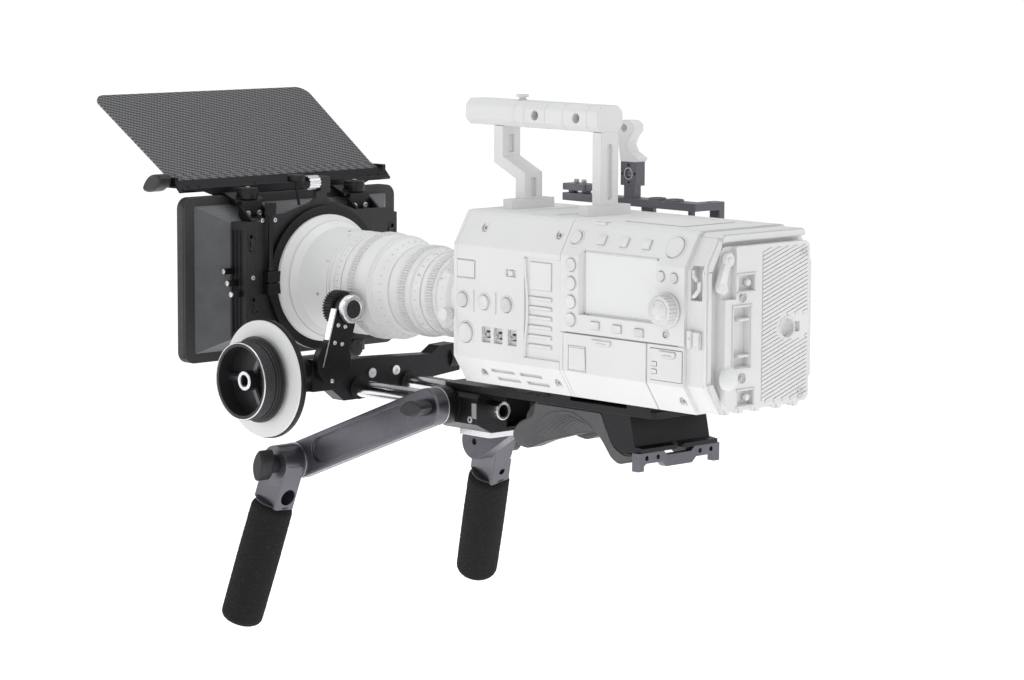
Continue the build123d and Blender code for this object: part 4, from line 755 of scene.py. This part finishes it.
def doors():
    """Door edges, thumb latches and hinge lugs on the left flank."""
    left = Piece()
    y0, y1, z0, z1 = 404.5, 425.0, -17.2, -12.2
    left.prism([(y0, z1), (y1, z1), (y1, z1 - 3.2), (y1 - 3, z0), (y0 + 3, z0), (y0, z1 - 3.2)], "x",
        SIDE - 1, SIDE + 1.5, 0.4)
    left.block((SIDE + 0.6, SIDE + 2), (y0 + 5, y1 - 5), (z0 + 1.4, z0 + 2.8), 0.4)
    left.block((SIDE - 0.6, SIDE + 0.35), (376.8, 396), (-39, -20.6), 0.3)
    left.tube([(SIDE + 0.3, 376.4, -40), (SIDE + 0.3, 396.6, -40), (SIDE + 0.3, 394.6, -19)], 0.4, 8)
    left.done("card_door_latch", "body", "door")
    rear = Piece()
    rear.prism([(478.5, -14), (496.5, -14), (496.5, -17), (494, -19.6), (481, -19.6), (478.5, -17)], "x",
        SIDE - 1, SIDE + 1.5, 0.4)
    rear.block((SIDE + 0.6, SIDE + 2), (482.5, 492.5), (-18.4, -17), 0.4)
    rear.block((SIDE - 0.3, SIDE + 0.45), (468, 503.5), (-38, -12.4), 0.4)
    for z in (-31, -25):
        rear.block((SIDE + 0.2, SIDE + 0.9), (470, 476), (z - 2, z + 2), 0.3)
    rear.block((SIDE - 3, SIDE + 0.7), (507.6, 513.2), (-9.6, 5), 0.5)
    rear.block((SIDE - 3, SIDE + 0.3), (514.2, 521.2), (-8.6, 4.2), 0.5)
    rear.turned([(0, 0.6), (1.2, 0.6), (1.4, 1), (0.8, 1.3), (0, 1.3)], (SIDE, 510.4, -2.2), "x", 16)
    rear.tube([(SIDE - 4.5, 510.5, 51), (SIDE - 2, 513, 47), (SIDE - 2, 516.5, 43.5)], 1.5, 10)
    rear.tube([(SIDE - 4.5, 510.5, 31), (SIDE - 2, 514.5, 32.5), (SIDE - 2, 518.5, 37), (SIDE - 2, 519,
        43)], 1.7, 10)
    rear.done("rear_door_details", "body")


doors()


def battery_plate_details():
    """Slot rims, screws, slanted ribs and the flange round the battery plate."""
    trim = Piece()
    for x0, x1, z0, z1 in ((18.6, 20.6, -26, 23), (39.4, 41.4, -26, 23), (18.6, 41.4, 22.4, 24.4),
            (18.6, 41.4, -27.4, -25.4)):
        trim.block((x0, x1), (BATTERY_FACE - 2, BATTERY_FACE + 0.9), (z0, z1), 0.4)
    for z in (12.3, -16.5):
        trim.tube([(21, BATTERY_FACE - 1.2, z), (32, BATTERY_FACE - 1.2, z)], 1.2, 12)
        trim.turned([(0, 0.9), (1.3, 0.7), (1.6, 0), (1.3, -0.7), (0, -0.9)], (32.6, BATTERY_FACE - 1.2, z),
            "x", 16)
    for z0, z1 in ((34.2, 47.8), (-55.8, -43.2)):
        trim.block((14.2, 16.4), (BATTERY_FACE - 1, BATTERY_FACE + 0.8), (z0, z1), 0.4)
        trim.block((14.2, 35.8), (BATTERY_FACE - 1, BATTERY_FACE + 0.8), (z1 - 0.6, z1 + 1.4), 0.4)
        trim.block((14.2, 35.8), (BATTERY_FACE - 1, BATTERY_FACE + 0.8), (z0 - 1.4, z0 + 0.6), 0.4)
        trim.turned([(0, -3.6), (2.6, -3.6), (2.8, -0.6), (2.2, 0), (0, 0)], (22, BATTERY_FACE,
            (z0 + z1) / 2), "y", 24)
    trim.turned([(10.2, -0.5), (9.4, 1.2), (7.6, 2.6), (4.4, 3.6), (0, 4), (0, -0.5)],
        (43.4, BATTERY_FACE - 0.8, -33), "y", 40)
    trim.turned([(7.8, 0.6), (8.9, 0.8), (9.2, 0.2), (9.2, -0.4), (7.8, -0.4)], (-23, BATTERY_FACE, 2), "y",
        40)
    trim.done("battery_plate_trim", "body")
    lever = Piece()
    lever.turned([(0, 0), (5.2, 0), (5.6, -0.6), (5.6, -3.6), (0, -3.6)], (44, BATTERY_FACE + 0.1, 60), "y",
        32)
    lever.turned([(0, -0.1), (2, -0.1), (2.3, 0.5), (1.2, 0.9), (0, 0.9)], (44, BATTERY_FACE, 60), "y", 20)
    lever.turned([(0, 0), (3.6, 0), (4, -0.6), (4, -3.6), (0, -3.6)], (52.4, BATTERY_FACE - 0.1, 38.4), "y",
        28)
    lever.done("battery_lever_ends", "body", "battery_lever", "key_white")
    screws = Piece()
    for x, z in ((29, 30), (29, -34), (-41.5, 61), (-39, -51.5)):
        screws.turned([(3.9, -0.3), (4.2, 0.4), (3.6, 0.7), (3.2, 0.2), (3, -0.3)], (x, BATTERY_FACE, z),
            "y", 28)
        socket_screw(screws, (x, BATTERY_FACE, z), "y", 2.7, 0.5)
    screws.done("battery_plate_screws", "screw")
    rim = Piece()
    pitch, low, high = 3.3, -55.0, 66.0
    for k in range(43):
        a = Vector((6.5, BATTERY_FACE, low - 18 + pitch * k))
        b = Vector((-47, BATTERY_FACE, low + pitch * k))
        if b.z < low + 1 or a.z > high - 1:
            continue
        if a.z < low:
            a = a.lerp(b, (low - a.z) / (b.z - a.z))
        if b.z > high:
            b = a.lerp(b, (high - a.z) / (b.z - a.z))
        if (b - a).length < 3.0:
            continue
        wide = Vector((-(b - a).z, 0, (b - a).x)).normalized() * 1.42
        steps = [a.lerp(b, t / 40) for t in range(41)]
        clear = [max(abs(q.x + 30) - 8, 0) ** 2 + (q.z - 2) ** 2 > 10.5 ** 2 for q in steps]
        start = 0
        for i in range(1, 42):
            if i == 41 or clear[i] != clear[start]:
                c, d = steps[start], steps[i - 1]
                if clear[start] and (d - c).length > 2.0:
                    rim.prism([(q.x, q.z) for q in (c - wide, d - wide, d + wide, c + wide)], "y",
                        BATTERY_FACE - 0.1, BATTERY_FACE + 0.45, 0.22)
                start = i
    rim.done("battery_plate_ribs", "body")
    frame_bar = Piece()
    frame_bar.prism([(-45, 79.6), (45, 79.6), (48.5, 77), (48.5, 73.4), (-48.5, 73.4), (-48.5, 77)], "y",
        506, 529, 0.8)
    frame_bar.prism([(61.6, 52), (63.4, 49), (63.4, -38), (61.6, -41), (57.6, -41), (57.6, 52)], "y", 523,
        527.6, 0.8)
    frame_bar.prism([(46, 74), (50.5, 77), (63.2, 56), (63.2, 50), (58, 50), (48, 66)], "y", 523, 527.6,
        0.8)
    frame_bar.prism([(44, -58), (49, -61.5), (62.8, -41), (62.8, -36), (57, -36), (46, -54)], "y", 523, 529,
        0.8)
    for x in (-40, -20, 5, 24, 40):
        frame_bar.block((x - 3, x + 3), (520, 528), (-62.6, -57), 0.5)
    frame_bar.done("battery_flange_moulding", "body")


battery_plate_details()


def top_details():
    """Seams, screws and inserts of the top plate and handle."""
    top = Piece()
    for y, half in ((286, 34), (330, 34)):
        top.block((-half, half), (y - 0.5, y + 0.5), (80.45, 80.9), 0.15)
    for x in (-36, 36):
        for y in (276, 306, 338, 400, 440, 480):
            top.turned([(0, -0.6), (1, -0.6), (1, 0.15), (2.3, 0.2), (2.6, -0.1), (2.6, -1), (0, -1)],
                (x, y, 80.7), "z", 24)
    top.block((-30, 30), (404, 470), (80.3, 81.1), 0.4)
    top.prism([(-49, 77.2), (49, 77.2), (46.5, 80.9), (-46.5, 80.9)], "y", 492, 504.5, 0.5)
    top.block((44, 50.6), (392, 404), (78, 81), 0.4)
    top.done("top_plate_details", "body")
    screws = Piece()
    for y in (261.8, 352):
        for x in (-18.5, 18.5):
            socket_screw(screws, (x, y, 88.2), "z", 2.4, 0.2)
    screws.done("handle_foot_screws", "body")
    inserts = Piece()
    for y in (283, 331.7):
        for side in (-1, 1):
            inserts.turned([(4, 0.25), (5, 0.1), (5.2, -0.4), (4, -0.8)], (side * 14.3, y, 159.3),
                Vector((side, 0, 0)), 36)
    inserts.done("handle_inserts", "screw")
    # Grey cylinders filling the insert holes: painted shade inside the holes.
    dark = Piece()
    for y in (283, 331.7):
        dark.turned([(0, -6), (3.9, -6), (3.9, 6), (0, 6)], (0, y, 159.3), "x", 32)
    dark.done("handle_insert_hole_shade", "grey_shade_and_insert", "rig", "body_white")
    seams = Piece()
    for y in (258, 270, 295, 316, 344):
        h0, h1 = 148.2, 170.4
        section = [(9.1, h0), (14.6, h0 + 5.5), (14.6, h1 - 5.5), (9.1, h1), (-9.1, h1), (-14.6, h1 - 5.5),
            (-14.6, h0 + 5.5), (-9.1, h0)]
        seams.prism(section, "y", y - 0.25, y + 0.25, 0)
    seams.done("handle_seams", "body")
    bolt = Piece()
    bolt.turned([(0, 173), (5.2, 173), (5.6, 173.6), (5.2, 175.2), (0, 175.4)], (0, 253.5, 0), "z", 28)
    bolt.turned([(0, 170), (3.8, 170), (3.8, 171), (2.2, 171.6), (2.2, 173.2), (0, 173.2)], (0, 253.5, 0),
        "z", 28)
    bolt.done("handle_top_screw", "body")


top_details()


def side_bracket_details():
    """Bosses and pins on the accessory arm."""
    black = Piece()
    for y in (352, 372):
        black.turned([(4.7, 89), (7.5, 89), (7.5, 90.9), (6.8, 91.3), (4.7, 91.2)], (-62, y, 0), "z", 36)
    for y, z in ((317.5, 110), (331.9, 110), (324.7, 117.2), (324.7, 102.8)):
        black.turned([(1.2, 0), (1.9, 0), (1.7, 0.3), (1.2, 0.3)], (-55, y, z), "x", 16)
    black.done("side_arm_bosses", "dark")
    rim = Piece()
    rim.turned([(4.2, -0.2), (5.2, -0.2), (5, 0.35), (4.2, 0.35)], (-55, 324.7, 110), "x", 32)
    for y in (256, 265):
        rim.turned([(0, 97), (2.2, 97), (2.4, 100), (1.6, 101), (0, 101.2)], (-62, y, 0), "z", 20)
    rim.done("side_arm_pins", "screw")


side_bracket_details()


# ---------------------------------------------------------------- lens
def lens_details():
    """Beads, ticks and set screws of the lens."""
    lens = Piece()
    for y, r in ((53, 45.7), (63, 45.55), (107.9, 44.75), (155.9, 37.35), (184.6, 35.7), (199, 32.4)):
        lens.ring(r - 1, r + 0.25, -0.5, 0.5, (0, y, 0), "y", 128, 0.2)
    lens.done("lens_barrel_beads", "lens")
    scale = Piece()
    marks = ((66.5, 45.4, 48, 2.4, 1), (118.4, 41.5, 36, 2.2, 0.9), (159.6, 37.2, 30, 2, 0.8),
        (191, 34.8, 24, 2, 0.8))
    for y, r, count, length, width in marks:
        for k in range(count):
            long = 1.6 if k % 4 == 0 else 1.0
            turn = about_lens(2 * math.pi * k / count)
            scale.block((-width / 4, width / 4), (y - length * long / 2, y + length * long / 2),
                (r - 0.35, r + 0.07), 0, turn)
    scale.done("lens_scale_ticks", "lens_mark", "rig", "lens_white")
    index = Piece()
    for y, r in ((49, 45.6), (104.6, 44.7), (160.5, 37.1), (186.4, 35.3)):
        for turn in (20, 62, 150):
            index.block((-0.35, 0.35), (y - 2.2, y + 2.2), (r - 0.4, r + 0.12), 0,
                about_lens(math.radians(turn)))
    index.done("lens_index_marks", "lens_mark", "rig", "lens_white")
    for name, body, y0, y1, r in (("focus", "focus", 92, 106.5, 45.4), ("zoom", "zoom", 128, 137, 38.2),
            ("zoom_rear", "zoom", 149.6, 154, 38.2), ("iris", "iris", 166.2, 171, 36)):
        ridges = Piece()
        count = 60 if name == "focus" else 52
        for y in (y0, y1):
            ridges.ring(r - 0.6, r + 0.22, -0.35, 0.35, (0, y, 0), "y", 128, 0.15)
        for k in range(count):
            turn = about_lens(2 * math.pi * k / count)
            short = 2.0 if k % 5 else 3.4
            ridges.block((-0.16, 0.16), (y1 - 0.6 - short, y1 - 0.6), (r - 0.3, r + 0.06), 0, turn)
        ridges.done(name + "_ring_marks", "lens", body)
    studs = Piece()
    for turn in (10, 100, 190, 280):
        socket = about_lens(math.radians(turn))
        studs.turned([(0, 0), (1.5, 0), (1.5, 0.5), (0, 0.6)], (0, 41, 45.6), "z", 16, socket)
        studs.turned([(0, 0), (1.2, 0), (1.2, 0.5), (0, 0.6)], (0, 205, 31.7), "z", 16, socket)
    studs.done("lens_set_screws", "screw", "rig", "lens_white")
    lip = Piece()
    lip.ring(48, 52.6, -0.4, 0.5, (0, 10.2, 0), "y", 128, 0.25)
    lip.done("lens_front_steps", "lens")
    inner = Piece()
    for y, r0, r1 in ((6, 47.2, 52), (70, 26, 28.2)):
        inner.ring(r0, r1, -1, 1, (0, y, 0), "y", 96, 0.2)
    inner.done("lens_baffles", "void")


lens_details()


# ---------------------------------------------------------------- matte box
def matte_box_details():
    """Knobs, hooks, screws and rims of the matte box."""
    dark = Piece()
    dark.ring(55, 64.6, -4.9, -0.2, (0, 0, 0), "y", 128, 0.8)
    for side in (-1, 1):
        dark.turned([(0, 82), (9.2, 82), (9.2, 73), (8.6, 72.4), (0, 72.4)], (side * 62.7, -34.1, 0), "z",
            40)
        dark.turned([(4, 80.2), (6.8, 80.4), (8.6, 80), (9.7, 78.8), (9.9, 76.8), (9.5, 74.4), (4, 74)],
            (side * 62.7, -34.1, 0), "z", 48)
    dark.turned([(0, 87), (7.6, 87), (8.2, 88), (8.2, 92.2), (7.2, 93.2), (0, 93.4)], (24.8, -12, 0), "z",
        36)
    dark.done("matte_box_rings", "black_metal")
    brass = Piece()
    for side in (-1, 1):
        hexagon = [(side * 62.7 + 2.3 * math.cos(math.pi * k / 3), -34.1 + 2.3 * math.sin(math.pi * k / 3))
            for k in range(6)]
        brass.prism(hexagon, "z", 80, 83.4, 0.3)
    brass.done("knob_hex_nuts", "brass")
    lever = Piece()
    lever.tube([(24.8, -12, 88), (24.6, -11.5, 78), (24, -9, 66)], 1.3, 12)
    lever.done("stage_lever_rod", "black_metal")
    rod = Piece()
    for x, z in ((69.9, 55.1), (55.6, 54.8), (81, 5), (-81, 5), (40, -46.5), (-40, -46.5)):
        rod.turned([(0.8, 0.2), (1.9, 0.2), (2.1, 0.6), (1.9, 0.9), (0.8, 0.9)], (x, -5.1, z), "y", 20)
    rod.done("stage_screws", "silver")
    tick = Piece()
    tick.block((-6.15, -5.65), (-5.1, -4.95), (60.6, 64.2), 0)
    tick.done("stage_index_mark", "white_mark")
    for number, (y, z) in enumerate(((-22, 10.6), (-16.8, 0.6), (-11.6, -8.9))):
        tip = Piece()
        tip.turned([(0, 99.4), (2.1, 99.4), (2.5, 100), (2.5, 101.1), (0, 101.3)], (0, y, z), "x", 20)
        tip.done("tray_tip_%d" % (number + 1), "silver", ("tray_front", "tray_middle", "tray_rear")[number])
    hooks = Piece()
    for side in (-1, 1):
        for x, z in ((83, 41.5), (80.5, -14.5)):
            hooks.turned([(2, 0.1), (3.6, 0.1), (3.6, 0.7), (2, 0.7)], (side * x, -5.2, z), "y", 24)
            hooks.block(sorted((side * (x + 0.5), side * (x + 2.6))), (-6.8, -4.9), (z - 7, z - 1.5), 0.3)
    for z in (34, -40):
        for x in (-81, 81):
            hooks.block((x - 3, x + 3), (-5.2, -4.2), (z - 6, z + 6), 0.6)
    hooks.done("stage_hooks", "black")
    rim = Piece()
    for sign in (-1, 1):
        rim.block((sign * 122.6 - 1.2, sign * 122.6 + 1.2), (-57.2, -48.8), (-68, 70), 1)
    rim.done("frame_rubber_rim", "frame_rubber")
    plate = Piece()
    plate.prism([(120, 81), (98, 79.5), (86, 75.3), (-86, 75.3), (-98, 79.5), (-120, 81), (-120, 83),
        (120, 83)], "y", -54.6, -52.4, 0.3)
    for x in (-112, -100, -36, 36, 100, 112):
        plate.turned([(0.6, 0), (1.3, 0), (1.3, 0.25), (0.6, 0.25)], (x, -56.6, 84.6), Vector((0, 1, 1)),
            14)
    plate.done("flag_bracket_skirt", "black_metal")


matte_box_details()


# ---------------------------------------------------------------- follow focus
PINION = (60.9 * math.cos(math.radians(-14.2)), 60.9 * math.sin(math.radians(-14.2)))
WHEEL = (75, -71.5)


def follow_focus_details():
    """Pinion cap, arm rivets and the handwheel with its knurl and disk."""
    cap = Piece()
    centre = (PINION[0], 0, PINION[1])
    cap.turned([(11.4, 99.2), (12.2, 99.6), (12.2, 105), (11.6, 105.8), (8.6, 105.8), (8, 105.2), (8, 103),
        (11.2, 103)], centre, "y", 72)
    for k in range(60):
        a = 2 * math.pi * k / 60
        u = spoke(a, "y")
        base = Vector(centre) + u * 12.15
        cap.tube([base + Vector((0, 100.2, 0)), base + Vector((0, 104.6, 0))], 0.32, 6)
    cap.done("pinion_cap_ring", "silver", "pinion")
    ticks = Piece()
    for k in range(40):
        a = 2 * math.pi * k / 40
        place = Matrix.Translation((PINION[0], 105.8, PINION[1])) @ Matrix.Rotation(-a, 4, "Y")
        ticks.block((8.8, 11.2 if k % 5 == 0 else 10.2), (-0.2, 0.06), (-0.13, 0.13), 0, place)
    ticks.done("pinion_cap_ticks", "black", "pinion")
    hub = Piece()
    hub.turned([(0, 103.4), (7.6, 103.4), (7.6, 104.8), (6.8, 105.2), (5.6, 104.4), (0, 104.2)], centre,
        "y", 48)
    for k in range(3):
        a = 2 * math.pi * k / 3 + 0.4
        hub.turned([(0, 104.2), (1.1, 104.2), (1.1, 105), (0, 105)], (PINION[0] + 3.4 * math.cos(a), 0,
            PINION[1] + 3.4 * math.sin(a)), "y", 14)
    hub.done("pinion_cap_centre", "knob", "pinion")
    rivets = Piece()
    for x, z in ((70.9, -28.4), (63, -30.2), (74.8, -43.4), (66.6, -45.1), (78, -76.3)):
        rivets.turned([(0, 98.2), (1.7, 98.2), (2, 98.7), (1.5, 99.4), (0, 99.6)], (x, 0, z), "y", 20)
    rivets.done("arm_rivets", "silver")
    strip = Piece()
    a, b = Vector((88, 0, -60)), Vector((72.6, 0, -14))
    strip.prism([(a.x - 0.6, a.z - 4), (a.x + 0.9, a.z - 4), (b.x + 0.9, b.z), (b.x - 0.6, b.z)], "y", 92,
        98.7, 0.3)
    strip.done("arm_edge_strip", "silver")
    knurl = Piece()
    for line in range(5):
        x = 150.4 + 2.1 * line
        for k in range(96):
            a = 2 * math.pi * (k + 0.5 * (line % 2)) / 96
            u, w = spoke(a, "x"), spoke(a + math.pi / 2, "x")
            c = Vector((x, WHEEL[0], WHEEL[1])) + u * 33.25
            part = bmesh.new()
            corners = [part.verts.new(c + Vector((0.75, 0, 0)) * sx + w * 0.75 * sw) for sx, sw in ((-1, 0),
                (0, -1), (1, 0), (0, 1))]
            peak = part.verts.new(c + u * 0.75)
            part.faces.new(corners)
            for i in range(4):
                part.faces.new((corners[i], corners[(i + 1) % 4], peak))
            knurl.take(part)
    knurl.done("handwheel_knurl", "grip_dots", "handwheel", angle=20)
    rims = Piece()
    rims.turned([(32.3, 160.3), (32.5, 160.9), (33.1, 160.9), (33.4, 160.3), (33.1, 159.9), (32.5, 159.9)],
        (0, *WHEEL), "x", 96)
    rims.turned([(5, 155.8), (8.2, 155.8), (8.4, 156.4), (8, 156.9), (5.4, 156.9)], (0, *WHEEL), "x", 48)
    rims.done("handwheel_bright_rims", "silver", "handwheel")
    hub = Piece()
    for k in range(3):
        a = math.radians(90 + 120 * k)
        turn = Matrix.Translation((0, *WHEEL)) @ Matrix.Rotation(a, 4, "X")
        hub.block((148.6, 149.6), (-2.4, 2.4), (8.4, 29.6), 0.5, turn)
    hub.done("handwheel_spokes", "dark", "handwheel")
    rear = Piece()
    rear.turned([(49.6, 130.3), (51.4, 130.6), (51.6, 132), (51.4, 134.2), (50.4, 135.3), (4.6, 135.3),
        (4.6, 134.4), (49.6, 134.4)], (0, *WHEEL), "x", 128)
    rear.turned([(8, 130.2), (51.2, 130.2), (51.2, 130.6), (8, 130.6)], (0, *WHEEL), "x", 128)
    rear.done("marking_disk_backing", "black_metal", "handwheel")
    flange = Piece()
    flange.turned([(33, 141.2), (36.4, 141.2), (37.2, 141.8), (37.2, 143), (36, 143.6), (33, 143.6)],
        (0, *WHEEL), "x", 96)
    flange.turned([(33, 145.6), (34.4, 146), (34, 148.4), (33, 148.4)], (0, *WHEEL), "x", 96)
    flange.done("handwheel_flange", "knob", "handwheel")
    knob = Piece()
    knob.turned([(0, 0), (6.8, 0), (7.6, 1), (7.6, 7.4), (6.4, 8.6), (0, 8.8)], (-30.7, -2, -66.2), "y", 36)
    for k in range(14):
        a = 2 * math.pi * k / 14
        base = Vector((-30.7, 0, -66.2)) + spoke(a, "y") * 7.5
        knob.tube([base + Vector((0, -1, 0)), base + Vector((0, 5.2, 0))], 0.8, 8)
    knob.done("support_lock_knob", "knob")


follow_focus_details()


# ---------------------------------------------------------------- shoulder base and arms
ROSETTE = 12.7
LEFT_KNUCKLE = (60, 42, -153.6)
RIGHT_KNUCKLE = (-60, 131, -140)


def base_details():
    """Rod ends, bright rings and screws of the shoulder base."""
    bright = Piece()
    for x in (-ROD_X, ROD_X):
        bright.turned([(5.4, 262.4), (7.4, 262.4), (7.8, 262.8), (7.8, 263.5), (7.2, 263.9), (5.4, 263.6)],
            (x, 0, -89), "y", 48)
    for side in (-1, 1):
        bright.turned([(14.2, 59.4), (16.3, 59.4), (16.5, 59.7), (16.5, 60.4), (14.2, 60.6)],
            (0, 213, -87.4), Vector((side, 0, 0)), 72)
    bright.done("bright_rings", "silver")
    washer = Piece()
    washer.turned([(9, -2.2), (17, -2.2), (17, -1.6), (9, -1.6)], (LEFT_KNUCKLE[0] + ROSETTE + 2.7,
        *LEFT_KNUCKLE[1:]), "x", 64)
    washer.done("left_knuckle_washer", "silver", "arm_left")
    # A dark cup inside each hollow rod end: painted shade in the bore.
    dark = Piece()
    for x in (-ROD_X, ROD_X):
        dark.turned([(0, 240), (5.45, 240), (5.45, 262), (5.2, 262), (5.2, 241), (0, 241)], (x, 0, -89),
            "y", 32)
    dark.done("rod_bore_shade", "void")
    screws = Piece()
    for y in (200, 242):
        for side in (-1, 1):
            screws.turned([(1.3, 0.1), (2.9, 0.1), (3, 0.8), (2.6, 1.1), (1.3, 1.1)], (side * 48, y, -97),
                Vector((side, 0, 0)), 24)
    screws.done("base_screws", "screw")
    marks = Piece()
    marks.block((48, 48.2), (243.6, 249.4), (-96, -83), 0)
    marks.done("base_insert", "grey_shade_and_insert", "rig", "bright_aluminium")


base_details()


# ---------------------------------------------------------------- soft pieces
def grip_matrix(side):
    """Knuckle frame of a hand grip, with local -Z along the grip."""
    if side > 0:
        place, tilt, lean = (LEFT_KNUCKLE[0] + ROSETTE + 11.95, *LEFT_KNUCKLE[1:]), -19.3, -3.2
    else:
        place, tilt, lean = (RIGHT_KNUCKLE[0] - ROSETTE - 11.65, *RIGHT_KNUCKLE[1:]), -26.8, 15.5
    return (Matrix.Translation(place) @ Matrix.Rotation(math.radians(tilt), 4, "X") @ Matrix.Rotation(
        math.radians(lean), 4, "Y"))


def foam_sleeve(name, side, body, node):
    """A foam sleeve: a slightly swollen tube with rounded ends and a lumpy open-cell skin."""
    steps, rows, radius = 120, 150, 18.55
    start, end, corner = 39.2, 156.6, 7.0
    bm = bmesh.new()
    rings = []
    profile = [(9.4, start)]
    profile += [(radius - corner * (1 - math.sin(t)), start + corner * (1 - math.cos(t))) for t in (
        math.pi / 2 * k / 10 for k in range(1, 11))]
    profile += [(radius, start + corner + (end - start - 2 * corner) * k / rows) for k in range(1, rows)]
    profile += [(radius - corner * (1 - math.cos(t)), end - corner * (1 - math.sin(t))) for t in (
        math.pi / 2 * k / 10 for k in range(0, 11))]
    profile += [(radius - corner - 2.5, end), (radius - corner - 6, end - 0.3), (2, end - 0.4)]
    for r, h in profile:
        share = (h - start) / (end - start)
        swell = 0.35 * math.sin(math.pi * share)
        ring = []
        for k in range(steps):
            a = 2 * math.pi * k / steps
            here = Vector((math.cos(a) * r, math.sin(a) * r, -h))
            lump = 0.0 if r < 10 else 0.28 * noise.noise(here * 0.55) + 0.13 * noise.noise(here * 1.7)
            grow = r + (swell + lump if r > 10 else 0)
            ring.append(bm.verts.new((math.cos(a) * grow, math.sin(a) * grow, -h)))
        rings.append(ring)
    for a, b in zip(rings, rings[1:]):
        for k in range(steps):
            n = (k + 1) % steps
            bm.faces.new((a[k], a[n], b[n], b[k]))
    bm.faces.new(rings[-1])
    bm.faces.new(rings[0][::-1])
    piece = Piece()
    piece.take(bm, 0, grip_matrix(side))
    obj = piece.done(name, "foam", body, angle=80)
    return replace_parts(obj, node)


foam_sleeve("grip_foam_left", 1, "grip_left", "left_foam_grip")
foam_sleeve("grip_foam_right", -1, "grip_right", "right_foam_grip")


def grip_collars():
    """A dark collar between each knuckle and its foam."""
    for name, side, body in (("grip_collar_left", 1, "grip_left"), ("grip_collar_right", -1, "grip_right")):
        collar = Piece()
        collar.turned([(9, -36.2), (15.4, -36.2), (16.4, -36.8), (16.4, -38.2), (15.4, -39), (9, -39)],
            (0, 0, 0), "z", 64, grip_matrix(side))
        collar.done(name, "black", body)


grip_collars()


def rounded_outline(points, radius, steps=5):
    """Softens the corners of a closed outline."""
    out = []
    count = len(points)
    for i in range(count):
        before, here, after = (Vector(points[j % count]) for j in (i - 1, i, i + 1))
        a, b = before - here, after - here
        reach = min(radius, a.length * 0.45, b.length * 0.45)
        p0, p2 = here + a.normalized() * reach, here + b.normalized() * reach
        for k in range(steps + 1):
            t = k / steps
            out.append(tuple(p0 * (1 - t) ** 2 + here * 2 * t * (1 - t) + p2 * t * t))
    return out


RIDGES = (((320.1, -100.9), (356, -81.6)), ((330.1, -97.6), (360.5, -82.4)), ((340, -94.9), (364, -83.2)),
    ((349.3, -93), (367.6, -84.4)), ((358.8, -91), (371.2, -85.4)), ((366.5, -89.6), (374.2, -86.4)))


def shoulder_cushion():
    """The moulded shoulder rubber: soft rims, crowned flanks and raised ridges."""
    roof = -74.0
    outline = [(313.5, roof), (312.4, -85.9), (294.5, -93.7), (286.2, -104), (292, -113), (305.5, -114.8),
        (326, -106.5), (346.8, -100.6), (366, -95.6), (385, -91.8), (393, -99.5), (402, -111),
        (411, -115.5), (430, -111), (430, -104.4), (419, -106.2), (407.2, -100.6), (398.1, -85.3),
        (393, roof)]
    piece = Piece()
    soft = rounded_outline(outline, 4)
    raised = [(y, min(z + 13, roof) if z < -90 else z) for y, z in soft]
    for x0, x1 in ((26, 43.2), (-43.2, -26)):
        piece.prism(soft, "x", x0, x1, 2)
    piece.prism([p for p in raised if p[0] < 400], "x", -27, 27, 1)
    for side in (-1, 1):
        x0 = side * 43.1
        arc = [(303.8, -111.5), (307, -104), (313, -96), (321.9, -88.9), (334, -82), (347.1, -79.1),
            (357, -79), (364.9, -80.8), (374, -84.5), (381.5, -88.8)]
        piece.tube([(x0, y, z) for y, z in arc], 0.95, 8)
        for (y0, z0), (y1, z1) in RIDGES:
            sag = 1.6
            path = []
            for j in range(9):
                t = j / 8
                bow = 4 * sag * t * (1 - t)
                path.append((x0, y0 + (y1 - y0) * t - bow * 0.5, z0 + (z1 - z0) * t + bow))
            piece.tube(path, 0.85, 8)
    obj = piece.done("shoulder_cushion", "pad", "rig", angle=50)
    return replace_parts(obj, "shoulder_pad")


shoulder_cushion()
